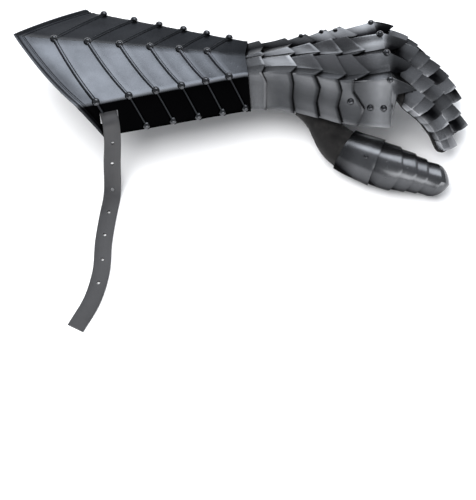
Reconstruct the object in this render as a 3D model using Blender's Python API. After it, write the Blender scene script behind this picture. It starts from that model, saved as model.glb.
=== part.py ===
"""Armoured gauntlet for a left hand, with a suede glove inside, lying back up on a flat surface.

Metres, +Z up. The gauntlet is designed in its own frame: X runs from the wrist to the fingers, +Y to the
little finger and +Z out of the back of the hand. An empty then turns it into the pose it rests in.
Stations along the gauntlet are "along", and the columns across it run from -8 on the thumb side to 8.
"""
import math

import bmesh
import bpy
import numpy as np
from mathutils import Matrix, Vector
from mathutils.bvhtree import BVHTree

# Cuff
cuff_length = 0.201
crease_setback = 0.0566
mouth_width = 0.1418
wrist_width = 0.0482
mouth_ridge_height = 0.0230
wrist_ridge_height = 0.0026
mouth_wall_depth = 0.0300
wrist_wall_depth = 0.0350
wall_flare = 0.0085
first_rib = 0.0350
rib_pitch = 0.0289
rib_pitch_ratio = 0.958
rib_count = 6
rib_sweep = 0.55
rib_width = 0.0034
rib_height = 0.0014
rim_inset = 0.0085
slot_length = 0.0173
slot_height = 0.0105
slot_depth = 0.0120

# Steel and its rivets
steel = 0.0012
rivet_radius = 0.0026
small_rivet_radius = 0.0019
lame_rivet_inset = 0.0040
side_rivet_inset = 0.0120
knuckle_side_rivets = (0.0035, 0.0145)
gap = 0.0003
plate_step = 0.0031
first_step = 0.0006
plate_overlap = 0.0080

# Back of the hand
hand_length = 0.1260
knuckle_width = 0.0860
knuckle_rise = 0.0099
middle_rise = 0.0169
pleat_depth = 0.0070
hand_wall_drop = 0.0380
hand_wall_flare = 0.0096
lobe_length = 0.0260
pinky_lobe = 0.0200

# Fingers
index_length = 0.0960
middle_length = 0.1060
ring_length = 0.1020
pinky_length = 0.0830
finger_radius = 0.0106
fingertip_radius = 0.0090
scale_steel = 0.0010
scale_step = 0.0021
scale_point = 0.0060
scale_start = 0.0160
scale_seat = 0.0036
finger_spread = 0.93

# Thumb
thumb_length = 0.1020
thumb_radius = 0.0195
thumb_root_radius = 0.0115
thumb_tip_radius = 0.0125

# Leather
suede = 0.0015
stall_clearance = 0.0009
root_squeeze = 0.0011
root_length = 0.0060
root_gather = 0.27
root_height = 0.0048
strap_leather = 0.0020
sleeve_length = 0.1200
strap_width = 0.0149
strap_at = -0.1160
strap_hole = 0.0040
strap_hole_count = 7
first_strap_hole = 0.0360
strap_hole_pitch = 0.0230
strap_inside = 0.0110
strap_outside = 0.0150
strap_bend = 0.0030
palm_strap_width = 0.0100
palm_strap_at = 0.0980
palm_strap_inset = 0.0034
buckle_strap_at = -0.0900
buckle_strap_reach = 0.0220
buckle_length = 0.0250
buckle_width = 0.0210
buckle_wire = 0.0032

# Pose on the surface it lies on
rest_roll = math.radians(-21.15)
rest_pitch = math.radians(-2.15)

# Sections of the hand: shares of the knuckle's place, width, rise and pleat depth
hand_sections = {
    "along":   [0.00, 0.25, 0.38, 0.52, 0.65, 0.81, 1.00],
    "outer_y": [0.56, 0.56, 0.64, 0.76, 0.88, 0.95, 1.00],
    "outer_z": [0.00, 0.22, 0.29, 0.32, 0.38, 0.62, 1.00],
    "inner_y": [0.05, 0.13, 0.17, 0.22, 0.29, 0.33, 0.34],
    "inner_z": [0.10, 0.32, 0.45, 0.59, 0.69, 0.83, 1.00],
    "pleat":   [0.03, 0.19, 0.34, 0.62, 0.98, 1.00, 1.00],
    "foot":    [0.50, 0.50, 0.52, 0.54, 0.56, 0.58, 0.60],
    "flare":   [0.84, 0.84, 0.86, 0.90, 0.94, 0.98, 1.00],
    "drop":    [0.88, 0.92, 0.94, 0.96, 0.98, 1.00, 1.00],
}

# Far edges of the hand plates: shares of the hand's length at the ridges, the valleys and down the side
plate_edges = {
    "cuff_plate":   {"ridge": 0.00, "valley": 0.02, "side_top": 0.01, "side": 0.02, "side_foot": 0.02},
    "wrist_lame_1": {"ridge": 0.11, "valley": 0.14, "side_top": 0.15, "side": 0.15, "side_foot": 0.15},
    "wrist_lame_2": {"ridge": 0.31, "valley": 0.36, "side_top": 0.33, "side": 0.325, "side_foot": 0.34},
    "hand_lame_1":  {"ridge": 0.47, "valley": 0.54, "side_top": 0.51, "side": 0.49, "side_foot": 0.51},
    "hand_lame_2":  {"ridge": 0.63, "valley": 0.70, "side_top": 0.66, "side": 0.635, "side_foot": 0.67},
    "hand_lame_3":  {"ridge": 0.74, "valley": 0.86, "side_top": 0.74, "side": 0.82, "side_foot": 0.78},
}

# Fingers: the ridge's column, the knuckle as a share of the hand, droop at the knuckle and at the tip
fingers = {
    "index":  {"column": -6, "knuckle": 1.000, "length": index_length, "droop": (26, 73), "scales": 6},
    "middle": {"column": -2, "knuckle": 0.986, "length": middle_length, "droop": (30, 62), "scales": 6},
    "ring":   {"column": 2, "knuckle": 0.952, "length": ring_length, "droop": (18, 66), "scales": 6},
    "pinky":  {"column": 6, "knuckle": 0.903, "length": pinky_length, "droop": (12, 73), "scales": 5},
}

# Half section of a finger, from its ridge round to the middle of its palm side, as shares of its radius
finger_section = {
    "out":  [0.00, 0.62, 1.00, 0.98, 0.60, 0.00],
    "down": [0.00, 0.48, 1.05, 1.50, 2.15, 2.30],
}

# Thumb's line: shares of its length along the gauntlet, out to the thumb side and down
thumb_line = {
    "at":    [0.00, 0.12, 0.28, 0.46, 0.74, 1.00],
    "along": [0.40, 0.51, 0.66, 0.90, 1.145, 1.326],
    "out":   [0.20, 0.25, 0.43, 0.55, 0.62, 0.66],
    "down":  [0.38, 0.48, 0.63, 0.71, 0.775, 0.832],
}

# Suede sleeve and hand. "along" is a share of the sleeve's length behind the wrist, or of the hand's beyond.
# "half" is a share of the armour's half width there, "top" and "bottom" are shares of its wall's depth.
glove_sections = {
    "along":  [-1.00, -0.75, -0.45, -0.15, 0.12, 0.35, 0.62, 0.80, 0.97],
    "half":   [0.881, 0.901, 0.889, 0.835, 0.870, 0.827, 0.842, 0.872, 0.937],
    "top":    [0.094, 0.031, -0.030, -0.145, -0.190, -0.183, -0.189, -0.132, 0.092],
    "bottom": [-0.906, -0.946, -1.025, -1.056, -1.097, -1.055, -0.998, -0.869, -0.697],
    "power":  [2.3, 2.3, 2.3, 2.3, 2.4, 2.6, 3.0, 3.6, 6.0],
}


def clear_scene():
    """Remove every object that the file opened with."""
    for old in list(bpy.data.objects):
        bpy.data.objects.remove(old, do_unlink=True)


def material(name, colour, roughness, metallic):
    """Principled material with one colour."""
    made = bpy.data.materials.new(name)
    made.use_nodes = True
    shader = made.node_tree.nodes["Principled BSDF"]
    shader.inputs["Base Color"].default_value = (*colour, 1.0)
    shader.inputs["Roughness"].default_value = roughness
    shader.inputs["Metallic"].default_value = metallic
    return made


def blackened_steel(name):
    return material(name, (0.055, 0.057, 0.062), 0.32, 0.9)


def black_suede(name):
    return material(name, (0.016, 0.015, 0.015), 0.95, 0.0)


def strap_black(name):
    return material(name, (0.045, 0.045, 0.048), 0.5, 0.0)


def blend(x, knots, values):
    """Smooth curve through the rows of a table."""
    knots = np.asarray(knots, float)
    values = np.asarray(values, float)
    x = np.clip(x, knots[0], knots[-1])
    i = np.clip(np.searchsorted(knots, x) - 1, 0, len(knots) - 2)
    slope = np.gradient(values, knots)
    h = knots[i + 1] - knots[i]
    t = (x - knots[i]) / h
    start = (2 * t**3 - 3 * t**2 + 1) * values[i] + (t**3 - 2 * t**2 + t) * h * slope[i]
    end = (3 * t**2 - 2 * t**3) * values[i + 1] + (t**3 - t**2) * h * slope[i + 1]
    return start + end


def smooth(t):
    t = np.clip(t, 0, 1)
    return t * t * (3 - 2 * t)


def grid_faces(rows, columns, closed=False):
    """Quads of a grid, its rows along the gauntlet and its columns towards +Y."""
    faces = []
    for i in range(rows - 1):
        for j in range(columns if closed else columns - 1):
            k = (j + 1) % columns
            faces.append((i * columns + j, (i + 1) * columns + j, (i + 1) * columns + k, i * columns + k))
    return faces


def offset_vectors(points, faces):
    """For each point, the move that shifts all its faces outwards by one."""
    square = np.zeros((len(points), 3, 3))
    total = np.zeros((len(points), 3))
    for face in faces:
        a, b, c, d = (points[k] for k in (face if len(face) == 4 else (*face, face[0])))
        normal = np.cross(c - a, d - b) if len(face) == 4 else np.cross(b - a, c - a)
        normal = normal / np.linalg.norm(normal)
        for k in face:
            square[k] += np.outer(normal, normal)
            total[k] += normal
    square += np.eye(3) * 0.06
    return np.linalg.solve(square, total[:, :, None])[:, :, 0] * 1.015


def sheet(name, points, faces, thickness, finish, lift=0.0):
    """Closed wall: the outer face is the points raised by lift, the inner one lies a thickness below."""
    points = np.asarray(points, float).reshape(-1, 3)
    move = offset_vectors(points, faces)
    lift = np.broadcast_to(np.asarray(lift, float).reshape(-1, 1), (len(points), 1))
    outer = points + move * lift
    inner = outer - move * thickness
    count = len(points)
    edges = {(face[k], face[(k + 1) % len(face)]) for face in faces for k in range(len(face))}
    rims = [(b, a, a + count, b + count) for a, b in edges if (b, a) not in edges]
    back = [tuple(k + count for k in reversed(face)) for face in faces]
    return solid(name, np.vstack([outer, inner]), faces + back + sorted(rims), finish)


def solid(name, points, faces, finish):
    """One object from points and faces, its faces outwards."""
    mesh = bpy.data.meshes.new(name)
    mesh.from_pydata([tuple(p) for p in points], [], faces)
    work = bmesh.new()
    work.from_mesh(mesh)
    bmesh.ops.recalc_face_normals(work, faces=work.faces)
    work.to_mesh(mesh)
    work.free()
    made = bpy.data.objects.new(name, mesh)
    bpy.context.scene.collection.objects.link(made)
    mesh.materials.append(finish)
    return made


def boolean(target, cutter, operation):
    """Join or cut with one exact Boolean, then drop the cutter."""
    modifier = target.modifiers.new(operation.lower(), "BOOLEAN")
    modifier.operation = operation
    modifier.solver = "EXACT"
    modifier.object = cutter
    graph = bpy.context.evaluated_depsgraph_get()
    mesh = bpy.data.meshes.new_from_object(target.evaluated_get(graph))
    target.modifiers.clear()
    target.data = mesh
    while len(mesh.materials) > 1:
        mesh.materials.pop()
    bpy.data.objects.remove(cutter, do_unlink=True)


def dome_mesh(point, normal, radius, sides=7):
    """Points and faces of one rivet head, sunk a little into the plate."""
    turn = Vector(normal).to_track_quat("Z", "Y").to_matrix()
    rings = ((1.0, -0.22), (1.0, 0.25), (0.72, 0.85))
    points = []
    for size, height in rings:
        for k in range(sides):
            angle = 2 * math.pi * k / sides
            spot = (radius * size * math.cos(angle), radius * size * math.sin(angle), radius * height)
            points.append(Vector(point) + turn @ Vector(spot))
    points.append(Vector(point) + turn @ Vector((0, 0, radius * 1.12)))
    faces = [tuple(reversed(range(sides)))]
    for ring in range(2):
        for k in range(sides):
            a = ring * sides + k
            b = ring * sides + (k + 1) % sides
            faces.append((a, b, b + sides, a + sides))
    for k in range(sides):
        faces.append((2 * sides + k, 2 * sides + (k + 1) % sides, 3 * sides))
    return points, faces


def add_rivets(plate, spots, radius):
    """Fuse rivet heads to a plate where lines along their outward directions meet its outer face."""
    corners = [vertex.co for vertex in plate.data.vertices]
    tree = BVHTree.FromPolygons(corners, [face.vertices for face in plate.data.polygons])
    points, faces = [], []
    for point, normal in spots:
        ray = Vector(normal).normalized()
        seat = tree.ray_cast(Vector(point) + ray * 0.008, -ray)[0]
        new_points, new_faces = dome_mesh(seat, ray, radius)
        faces += [tuple(k + len(points) for k in face) for face in new_faces]
        points += new_points
    boolean(plate, solid("rivets", points, faces, plate.data.materials[0]), "UNION")


def cuff_size(x):
    """Half width at the creases, ridge height and wall depth of the cuff at a station."""
    share = np.clip((x + cuff_length) / cuff_length, 0, 1)
    crease_share = crease_setback / cuff_length
    half = mouth_width / 2 + (wrist_width - mouth_width) / 2 * (share - crease_share) / (1 - crease_share)
    rise = mouth_ridge_height + (wrist_ridge_height - mouth_ridge_height) * share
    return half, rise, mouth_wall_depth + (wrist_wall_depth - mouth_wall_depth) * share


def cuff_point(x, across):
    """Point of the cuff's outer face: across is -4 at the thumb-side edge, 0 on the ridge and 4 beyond it."""
    half, rise, depth = cuff_size(x)
    reach = np.abs(across)
    roof = np.clip(reach / 2, 0, 1)
    wall = np.clip((reach - 2) / 2, 0, 1)
    y = half * roof + wall_flare * wall**1.15
    z = rise * (1 - roof) - depth * wall
    return np.stack([x + 0 * y, np.sign(across) * y, z], axis=-1)


def cuff_rows():
    """Rows of the cuff: where each meets the ridge, its sweep and how far it stands out."""
    mouth_sweep = crease_setback / (mouth_width / 2)
    rows = [(-cuff_length, mouth_sweep, 0.0), (-cuff_length + rib_width * 0.3, mouth_sweep, rib_height),
            (-cuff_length + rib_width * 0.9, mouth_sweep, rib_height),
            (-cuff_length + rib_width * 1.2, mouth_sweep, 0.0),
            (-cuff_length + rim_inset, mouth_sweep * 0.97, 0.0)]
    ridge = -cuff_length + first_rib
    pitch = rib_pitch
    for _ in range(rib_count):
        for share, height in ((-0.5, 0.0), (-0.2, 1.0), (0.2, 1.0), (0.5, 0.0)):
            rows.append((ridge + share * rib_width, rib_sweep, height * rib_height))
        ridge += pitch
        pitch *= rib_pitch_ratio
    rows.append((0.0, 0.10, 0.0))
    return rows


def cuff_row_x(ridge_x, sweep, across):
    """Where a swept row crosses a column: it runs on down the side wall at a like slope."""
    half = mouth_width / 2 * np.clip(-ridge_x / cuff_length, 0, 1) * 0.92 + wrist_width / 2
    half = np.minimum(half, mouth_width / 2)
    reach = np.abs(across)
    roof = np.clip(reach / 2, 0, 1)
    wall = np.clip((reach - 2) / 2, 0, 1)
    drop = mouth_wall_depth * wall
    return ridge_x + sweep * (half * roof + drop * 0.95)


def rib_crossings():
    """Ridge stations of the ribs."""
    stations = [-cuff_length + first_rib]
    pitch = rib_pitch
    for _ in range(rib_count - 1):
        stations.append(stations[-1] + pitch)
        pitch *= rib_pitch_ratio
    return stations


def make_cuff():
    across = np.array([-4, -3, -2, -1, 0, 1, 2, 3, 4], float)
    rows = cuff_rows()
    points = np.array([cuff_point(cuff_row_x(x, sweep, across), across) for x, sweep, _ in rows])
    lift = np.repeat([height for _, _, height in rows], len(across))
    plate = sheet("cuff_plate", points, grid_faces(len(rows), len(across)), steel,
                  blackened_steel("cuff steel"), lift)
    spots = []
    for station in rib_crossings():
        for column, lean in ((-3.8, -1.0), (-2, -0.45), (0, 0.0), (2, 0.45), (3.8, 1.0)):
            x = cuff_row_x(station, rib_sweep, column)
            if column == -3.8 and abs(x - strap_at) < strap_width:
                continue
            point = cuff_point(x, np.float64(column))
            normal = (0, lean, 1 - abs(lean) * 0.9)
            spots.append((point + np.array(normal) * rib_height * 0.5, normal))
    add_rivets(plate, spots, rivet_radius)
    slot = slot_cutter()
    boolean(plate, slot, "DIFFERENCE")
    return plate


def slot_centre():
    """Middle of the strap's slot in the thumb-side wall, then the wall's outward, downward and long ways."""
    top = cuff_point(np.float64(strap_at), np.float64(-2.6))
    low = cuff_point(np.float64(strap_at), np.float64(-3.4))
    side = (cuff_point(np.float64(strap_at + strap_width / 2), np.float64(-3))
            - cuff_point(np.float64(strap_at - strap_width / 2), np.float64(-3)))
    side /= np.linalg.norm(side)
    down = low - top
    down -= side * down.dot(side)
    down /= np.linalg.norm(down)
    return (top + low) / 2, np.cross(side, -down), down, side


def slot_cutter():
    centre, out, down, side = slot_centre()
    points = []
    for a in (-0.5, 0.5):
        for b in (-0.5, 0.5):
            for c in (-1, 1):
                across = side * slot_length * a + down * slot_height * b
                points.append(centre + across + out * slot_depth / 2 * c)
    faces = [(0, 1, 3, 2), (4, 6, 7, 5), (0, 4, 5, 1), (2, 3, 7, 6), (0, 2, 6, 4), (1, 5, 7, 3)]
    return solid("slot", points, faces, strap_black("slot"))


def finger_share(across):
    """Position among the fingers: 0 at the index ridge to 3 at the little finger's."""
    return np.clip((np.asarray(across, float) + 6) / 4, 0, 3)


def knuckle_x(across):
    return hand_length * np.interp(finger_share(across), range(4), [f["knuckle"] for f in fingers.values()])


def droop_shift(finger, t):
    """Forward and downward travel of a finger's ridge, and its slope, at a distance t past the knuckle."""
    low, high = (math.radians(a) for a in finger["droop"])
    turn = (high - low) / finger["length"]
    angle = low + turn * np.clip(t, 0, None)
    forward = (np.sin(angle) - math.sin(low)) / turn + np.clip(t, None, 0)
    slope = angle * smooth((t + root_length) / (8 * root_length))
    return forward, (math.cos(low) - np.cos(angle)) / turn, slope


def hand_point(x, across):
    """Nominal surface over the back of the hand, bent down each finger past its knuckle."""
    x, across = np.broadcast_arrays(np.asarray(x, float), np.asarray(across, float))
    crest = knuckle_x(across)
    share = np.clip(x / crest, 0, 1)
    row = {key: blend(share, hand_sections["along"], values) for key, values in hand_sections.items()}
    outer_y = row["outer_y"] * knuckle_width / 2
    outer_z = row["outer_z"] * knuckle_rise
    inner_y = row["inner_y"] * knuckle_width / 2
    inner_z = row["inner_z"] * middle_rise
    depth = row["pleat"] * pleat_depth
    foot = row["foot"]
    valley_z = (inner_z + outer_z) / 2 - depth
    wide = outer_y - inner_y
    drop = row["drop"] * hand_wall_drop
    flare = row["flare"] * hand_wall_flare
    ys = [0 * inner_y, inner_y / 2, inner_y, inner_y + wide / 4, inner_y + wide / 2, inner_y + wide * 3 / 4,
          outer_y, outer_y + flare * 0.45, outer_y + flare]
    zs = [inner_z - depth, inner_z - depth * foot, inner_z, inner_z + (valley_z - inner_z) * foot, valley_z,
          outer_z + (valley_z - outer_z) * foot, outer_z, (outer_z - drop) / 2, -drop]
    reach = np.abs(across)
    low = np.clip(np.floor(reach).astype(int), 0, 7)
    part = reach - low
    y = np.choose(low, ys[:8]) * (1 - part) + np.choose(low, ys[1:]) * part
    z = np.choose(low, zs[:8]) * (1 - part) + np.choose(low, zs[1:]) * part
    past = np.clip(x - crest, 0, None)
    place = finger_share(across)
    ahead = 0 * past
    fall = 0 * past
    for number, finger in enumerate(fingers.values()):
        weight = np.clip(1 - np.abs(place - number), 0, 1)
        forward, down, _ = droop_shift(finger, past)
        ahead += weight * forward
        fall += weight * down
    bend = np.clip(8 - reach, 0, 2) / 2
    x = np.minimum(x, crest) + ahead * bend + past * (1 - bend)
    flank = np.clip(reach - 6, 0, 1) * past
    return np.stack([x, np.sign(across) * (y + flank), z + flank * 0.5 - fall * bend], axis=-1)


def edge_at(plate, across):
    """Station of a plate's far edge at each column."""
    edge = plate_edges[plate]
    knots = [0, 2, 4, 6, 6.6, 7.3, 8]
    shares = [edge[key] for key in ("valley", "ridge", "valley", "ridge", "side_top", "side", "side_foot")]
    return knuckle_x(across) * np.interp(np.abs(across), knots, shares)


def hand_columns():
    return np.array([-8, -7.3, -6.6, *range(-6, 7), 6.6, 7.3, 8], float)


def plate_grid(start, end, across, shares):
    """Rows of a plate from its hidden near edge to its far edge."""
    return np.array([hand_point(start + (end - start) * share, across) for share in shares])


def make_lame(name, previous):
    across = hand_columns()
    step = plate_step + (first_step if previous == "cuff_plate" else 0)
    start = edge_at(previous, across) - plate_overlap
    end = edge_at(name, across)
    shares = (0.0, 0.35, 0.7, 1.0)
    points = plate_grid(start, end, across, shares)
    lift = np.repeat([-step * (1 - share) for share in shares], len(across))
    return sheet(name, points, grid_faces(len(shares), len(across)), steel, blackened_steel(name + " steel"),
                 lift)


def make_hand_plates():
    order = list(plate_edges)
    plates = {name: make_lame(name, previous) for previous, name in zip(order, order[1:])}
    up_out = (0, 0.8, 0.6)
    for name in ("hand_lame_1", "hand_lame_2", "hand_lame_3"):
        x = edge_at(name, 6) - lame_rivet_inset
        add_rivets(plates[name], [(hand_point(x, 6), up_out)], small_rivet_radius)
    spots = []
    for side in (-1, 1):
        x = edge_at("hand_lame_3", 7.3 * side) - side_rivet_inset
        spots.append((hand_point(x, 7 * side), (0, side, 0.15)))
    add_rivets(plates["hand_lame_3"], spots, rivet_radius)
    return plates


def knuckle_far_edge(across):
    """How far past the knuckle row the knuckle plate reaches: lobes over the fingers."""
    reach = np.abs(across)
    lobe = np.where(across > 4, pinky_lobe, lobe_length)
    shares = [0.25, 0.68, 1.0, 0.68, 0.25, 0.68, 1.0, 0.20, 0.05, 0.0]
    return lobe * np.interp(reach, [0, 1, 2, 3, 4, 5, 6, 6.6, 7.3, 8], shares)


def make_knuckle_plate():
    across = hand_columns()
    crest = knuckle_x(across)
    start = edge_at("hand_lame_3", across) - plate_overlap
    end = crest + knuckle_far_edge(across)
    near = crest - 0.004
    rows = [start, start + (near - start) / 3, near - (near - start) / 3, near, crest, (crest + end) / 2, end]
    points = np.array([hand_point(row, across) for row in rows])
    lift = np.array([-plate_step * (1 - (row - start) / (end - start)) for row in rows])
    plate = sheet("knuckle_plate", points, grid_faces(len(rows), len(across)), steel,
                  blackened_steel("knuckle steel"), lift)
    spots = []
    for finger in fingers.values():
        point = hand_point(hand_length * finger["knuckle"] - small_rivet_radius, finger["column"])
        spots.append((point, (-0.1, 0.25 * np.sign(finger["column"]), 1)))
    for side in (-1, 1):
        for back in knuckle_side_rivets:
            spots.append((hand_point(knuckle_x(6 * side) - back, 7.25 * side), (0, side, 0.15)))
    add_rivets(plate, spots, rivet_radius)
    return plate


def finger_frame(finger, t):
    """Ridge point, outward direction, and radius of a finger at a distance t past its knuckle."""
    forward, down, angle = droop_shift(finger, np.asarray(t, float))
    base = hand_point(np.float64(hand_length * finger["knuckle"]), np.float64(finger["column"]))
    zero = 0 * angle
    ridge = np.stack([base[0] + forward, base[1] * finger_spread + zero, base[2] - down], axis=-1)
    out = np.stack([np.sin(angle), zero, np.cos(angle)], axis=-1)
    radius = finger_radius + (fingertip_radius - finger_radius) * np.clip(t / finger["length"], 0, 1)
    return ridge, out, radius


def finger_point(finger, t, around, inset=0.0):
    """Point of a finger's surface: around is 0 on the ridge, 3 at a scale's edge and 5 on the palm side."""
    t, around = np.broadcast_arrays(np.asarray(t, float), np.asarray(around, float))
    ridge, out, radius = finger_frame(finger, t)
    reach = np.abs(around)
    sideways = np.interp(reach, range(6), finger_section["out"])
    under = np.interp(reach, range(6), finger_section["down"])
    y_axis = np.array([0.0, 1.0, 0.0])
    shape = np.sign(around)[..., None] * y_axis * (sideways * (radius - inset))[..., None]
    return ridge - out * (scale_seat + inset + under * (radius - inset))[..., None] + shape


def make_scales(name, finger):
    """Overlapping pointed scales down one finger."""
    around = np.array([-3, -2, -1, 0, 1, 2, 3], float)
    count = finger["scales"]
    reach = finger["length"] - scale_start - scale_point * 0.4
    pitch = reach / count
    length = pitch * 1.45
    for number in range(count):
        start = scale_start + pitch * number + 0 * around
        tip = start + length - scale_point * np.abs(around) / 2 + scale_point * 0.4
        shares = (0.0, 0.5, 1.0)
        points = np.array([finger_point(finger, start + (tip - start) * share, around) for share in shares])
        lift = np.array([(tip - start) * share * scale_step / length for share in shares])
        sheet(f"{name}_scale_{number + 1}", points, grid_faces(3, 7), scale_steel,
              blackened_steel(f"{name} scale {number + 1} steel"), lift)


def make_stall(name, finger):
    """Hollow leather finger, closed at its tip and open at its root."""
    around = np.array([0, 1, 2, 3, 4, 5, -4, -3, -2, -1], float)
    inset = scale_steel + stall_clearance
    root = (-root_length, 0.0, root_length, 0.0105)
    body = np.linspace(scale_start, finger["length"], 5)
    stations = np.concatenate([root, body])
    rows = []
    for t in stations:
        share = 1 - smooth((t - 0.002) / (scale_start - 0.002))
        ring = finger_point(finger, np.full(len(around), t), around, inset + root_squeeze * share)
        knuckle = finger_frame(finger, 0.0)[0]
        rows.append(ring - np.array([0, knuckle[1] * root_gather, knuckle[2] - root_height]) * share)
    last = rows[-1]
    middle = last.mean(axis=0)
    ahead = finger_point(finger, finger["length"], 0) - finger_point(finger, finger["length"] - 0.001, 0)
    ahead = ahead / np.linalg.norm(ahead)
    rows.append(middle + (last - middle) * 0.72 + ahead * 0.0055)
    points = np.array(rows).reshape(-1, 3)
    faces = grid_faces(len(rows), len(around), closed=True)
    tip = len(points)
    points = np.vstack([points, middle + ahead * 0.0080])
    ring_start = tip - len(around)
    for k in range(len(around)):
        faces.append((ring_start + k, tip, ring_start + (k + 1) % len(around)))
    return sheet(f"glove_{name}", points, faces, suede, black_suede(f"{name} suede"))


def thumb_frame(t):
    """Centre, outward, sideways and forward directions of the thumb at a share of its length."""
    t = np.asarray(t, float)

    def centre(s):
        x = hand_length * blend(s, thumb_line["at"], thumb_line["along"])
        y = -thumb_length * blend(s, thumb_line["at"], thumb_line["out"])
        z = -thumb_length * blend(s, thumb_line["at"], thumb_line["down"])
        return np.stack([x, y, z], axis=-1)

    inner = np.clip(t, 0.01, 0.99)
    ahead = centre(inner + 0.01) - centre(inner - 0.01)
    ahead /= np.linalg.norm(ahead, axis=-1, keepdims=True)
    middle = centre(t) + ahead * ((t - np.clip(t, 0, 1)) * thumb_length)[..., None]
    view = np.array([0.0, -0.75, 0.66])
    side = np.cross(view + 0 * ahead, ahead)
    side /= np.linalg.norm(side, axis=-1, keepdims=True)
    out = np.cross(ahead, side)
    return middle, out, side, ahead


def thumb_point(t, angle, inset=0.0):
    """Point of the thumb's nominal surface, at an angle round from its ridge."""
    t, angle = np.broadcast_arrays(np.asarray(t, float), np.asarray(angle, float))
    centre, out, side, _ = thumb_frame(t)
    radius = thumb_radius + (thumb_tip_radius - thumb_radius) * smooth((t - 0.42) / 0.58)
    radius = radius + (thumb_root_radius - thumb_radius) * (1 - smooth(t / 0.32))
    peak = 1 + 0.10 * np.clip(1 - np.abs(angle) / 0.6, 0, 1)
    radius = radius * peak - inset
    return centre + out * (radius * np.cos(angle))[..., None] + side * (radius * np.sin(angle))[..., None]


def make_thumb():
    """Base plate, three scales and a tip plate over the thumb."""
    angles = np.radians([-92, -62, -30, 0, 30, 62, 92])
    names = ["thumb_base_plate", "thumb_scale_1", "thumb_scale_2", "thumb_scale_3", "thumb_tip_plate"]
    starts = [0.31, 0.43, 0.56, 0.68, 0.79]
    ends = [0.475, 0.66, 0.79, 0.90, 1.03]
    points_out = [0.0, 0.06, 0.06, 0.06, 0.07]
    for name, start, end, point in zip(names, starts, ends, points_out):
        tip = end - point * np.abs(angles) / angles[-1]
        shares = (0.0, 0.5, 1.0)
        points = np.array([thumb_point(start + (tip - start) * share, angles) for share in shares])
        lift = np.array([scale_step * 1.1 * share + 0 * angles for share in shares])
        plate = sheet(name, points, grid_faces(3, 7), scale_steel, blackened_steel(name + " steel"), lift)
        if name == "thumb_base_plate":
            spot = thumb_point(0.42, 0.0)
            out = thumb_frame(0.42)[1]
            add_rivets(plate, [(spot + out * scale_step * 0.8, tuple(out))], small_rivet_radius)


def thumb_tube(inset, start, end=1.0):
    """Points and faces of the closed thumb tube, an inset inside its nominal surface."""
    angles = np.radians(np.arange(12) * 30.0)
    wrapped = np.where(angles > math.pi, angles - 2 * math.pi, angles)
    stations = np.linspace(start, end, 8)
    rows = [thumb_point(np.full(12, t), wrapped, inset) for t in stations]
    centre, _, _, ahead = thumb_frame(np.float64(end))
    rows.append(centre + (rows[-1] - centre) * 0.7 + ahead * 0.005)
    points = np.vstack([np.array(rows).reshape(-1, 3), centre + ahead * 0.0075])
    faces = grid_faces(len(rows), 12, closed=True)
    tip = len(points) - 1
    for k in range(12):
        faces.append((tip - 12 + k, tip, tip - 12 + (k + 1) % 12))
    return points, faces


def armour_size(share):
    """Half width and wall depth of the armour over the glove: the cuff behind the wrist, the hand beyond."""
    if share < 0:
        half, _, depth = cuff_size(share * sleeve_length)
        return half, depth
    wide, drop = (blend(share, hand_sections["along"], hand_sections[key]) for key in ("outer_y", "drop"))
    return wide * knuckle_width / 2, drop * hand_wall_drop


def glove_ring(share, size=0.0):
    """One closed section of the sleeve and hand, grown by a size."""
    row = {key: blend(share, glove_sections["along"], values) for key, values in glove_sections.items()}
    wide, depth = armour_size(share)
    angle = np.radians(90 - np.arange(24) * 15.0)
    power = 2 / row["power"]
    half = row["half"] * wide + size
    high = (row["top"] - row["bottom"]) / 2 * depth + size
    y = half * np.sign(np.cos(angle)) * np.abs(np.cos(angle))**power
    middle = (row["top"] + row["bottom"]) / 2 * depth
    z = middle + high * np.sign(np.sin(angle)) * np.abs(np.sin(angle))**power
    place = np.interp(y, [-0.043, -0.0145, 0.0145, 0.043], [-6, -2, 2, 6])
    x = share * (knuckle_x(place) if share > 0 else sleeve_length)
    return np.stack([x + 0 * y, y, z], axis=-1)


def make_glove():
    """Suede sleeve and hand as one hollow wall, then the finger and thumb stalls."""
    shares = np.array([-1.0, -0.85, -0.65, -0.45, -0.25, -0.05, 0.12, 0.3, 0.46, 0.62, 0.78, 0.9, 0.97])
    rows = [glove_ring(share) for share in shares]
    body = sheet("glove_body", np.array(rows), grid_faces(len(rows), 24, closed=True), suede,
                 black_suede("body suede"))
    for name, finger in fingers.items():
        make_stall(name, finger)
    inset = scale_steel + stall_clearance
    points, faces = thumb_tube(inset, 0.0)
    stall = sheet("glove_thumb", points, faces, suede, black_suede("thumb suede"))
    boolean(stall, glove_block(gap), "DIFFERENCE")
    points, faces = thumb_tube(inset + suede, -0.02)
    points, faces = capped(points, faces, 12)
    boolean(body, solid("thumb hole", points, faces, black_suede("hole")), "DIFFERENCE")


def glove_block(size):
    """The glove body as a full block, grown by a size, for trimming the thumb stall."""
    shares = np.array([-0.05, 0.12, 0.3, 0.46, 0.62, 0.78, 0.9, 0.99])
    points = np.array([glove_ring(share, size) for share in shares]).reshape(-1, 3)
    points, faces = capped(points, grid_faces(len(shares), 24, closed=True), 24)
    faces.append(tuple(range(len(points) - 24, len(points))))
    return solid("glove block", points, faces, black_suede("block"))


def capped(points, faces, ring):
    """Close the first ring of a tube with one face."""
    return points, faces + [tuple(reversed(range(ring)))]


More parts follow.
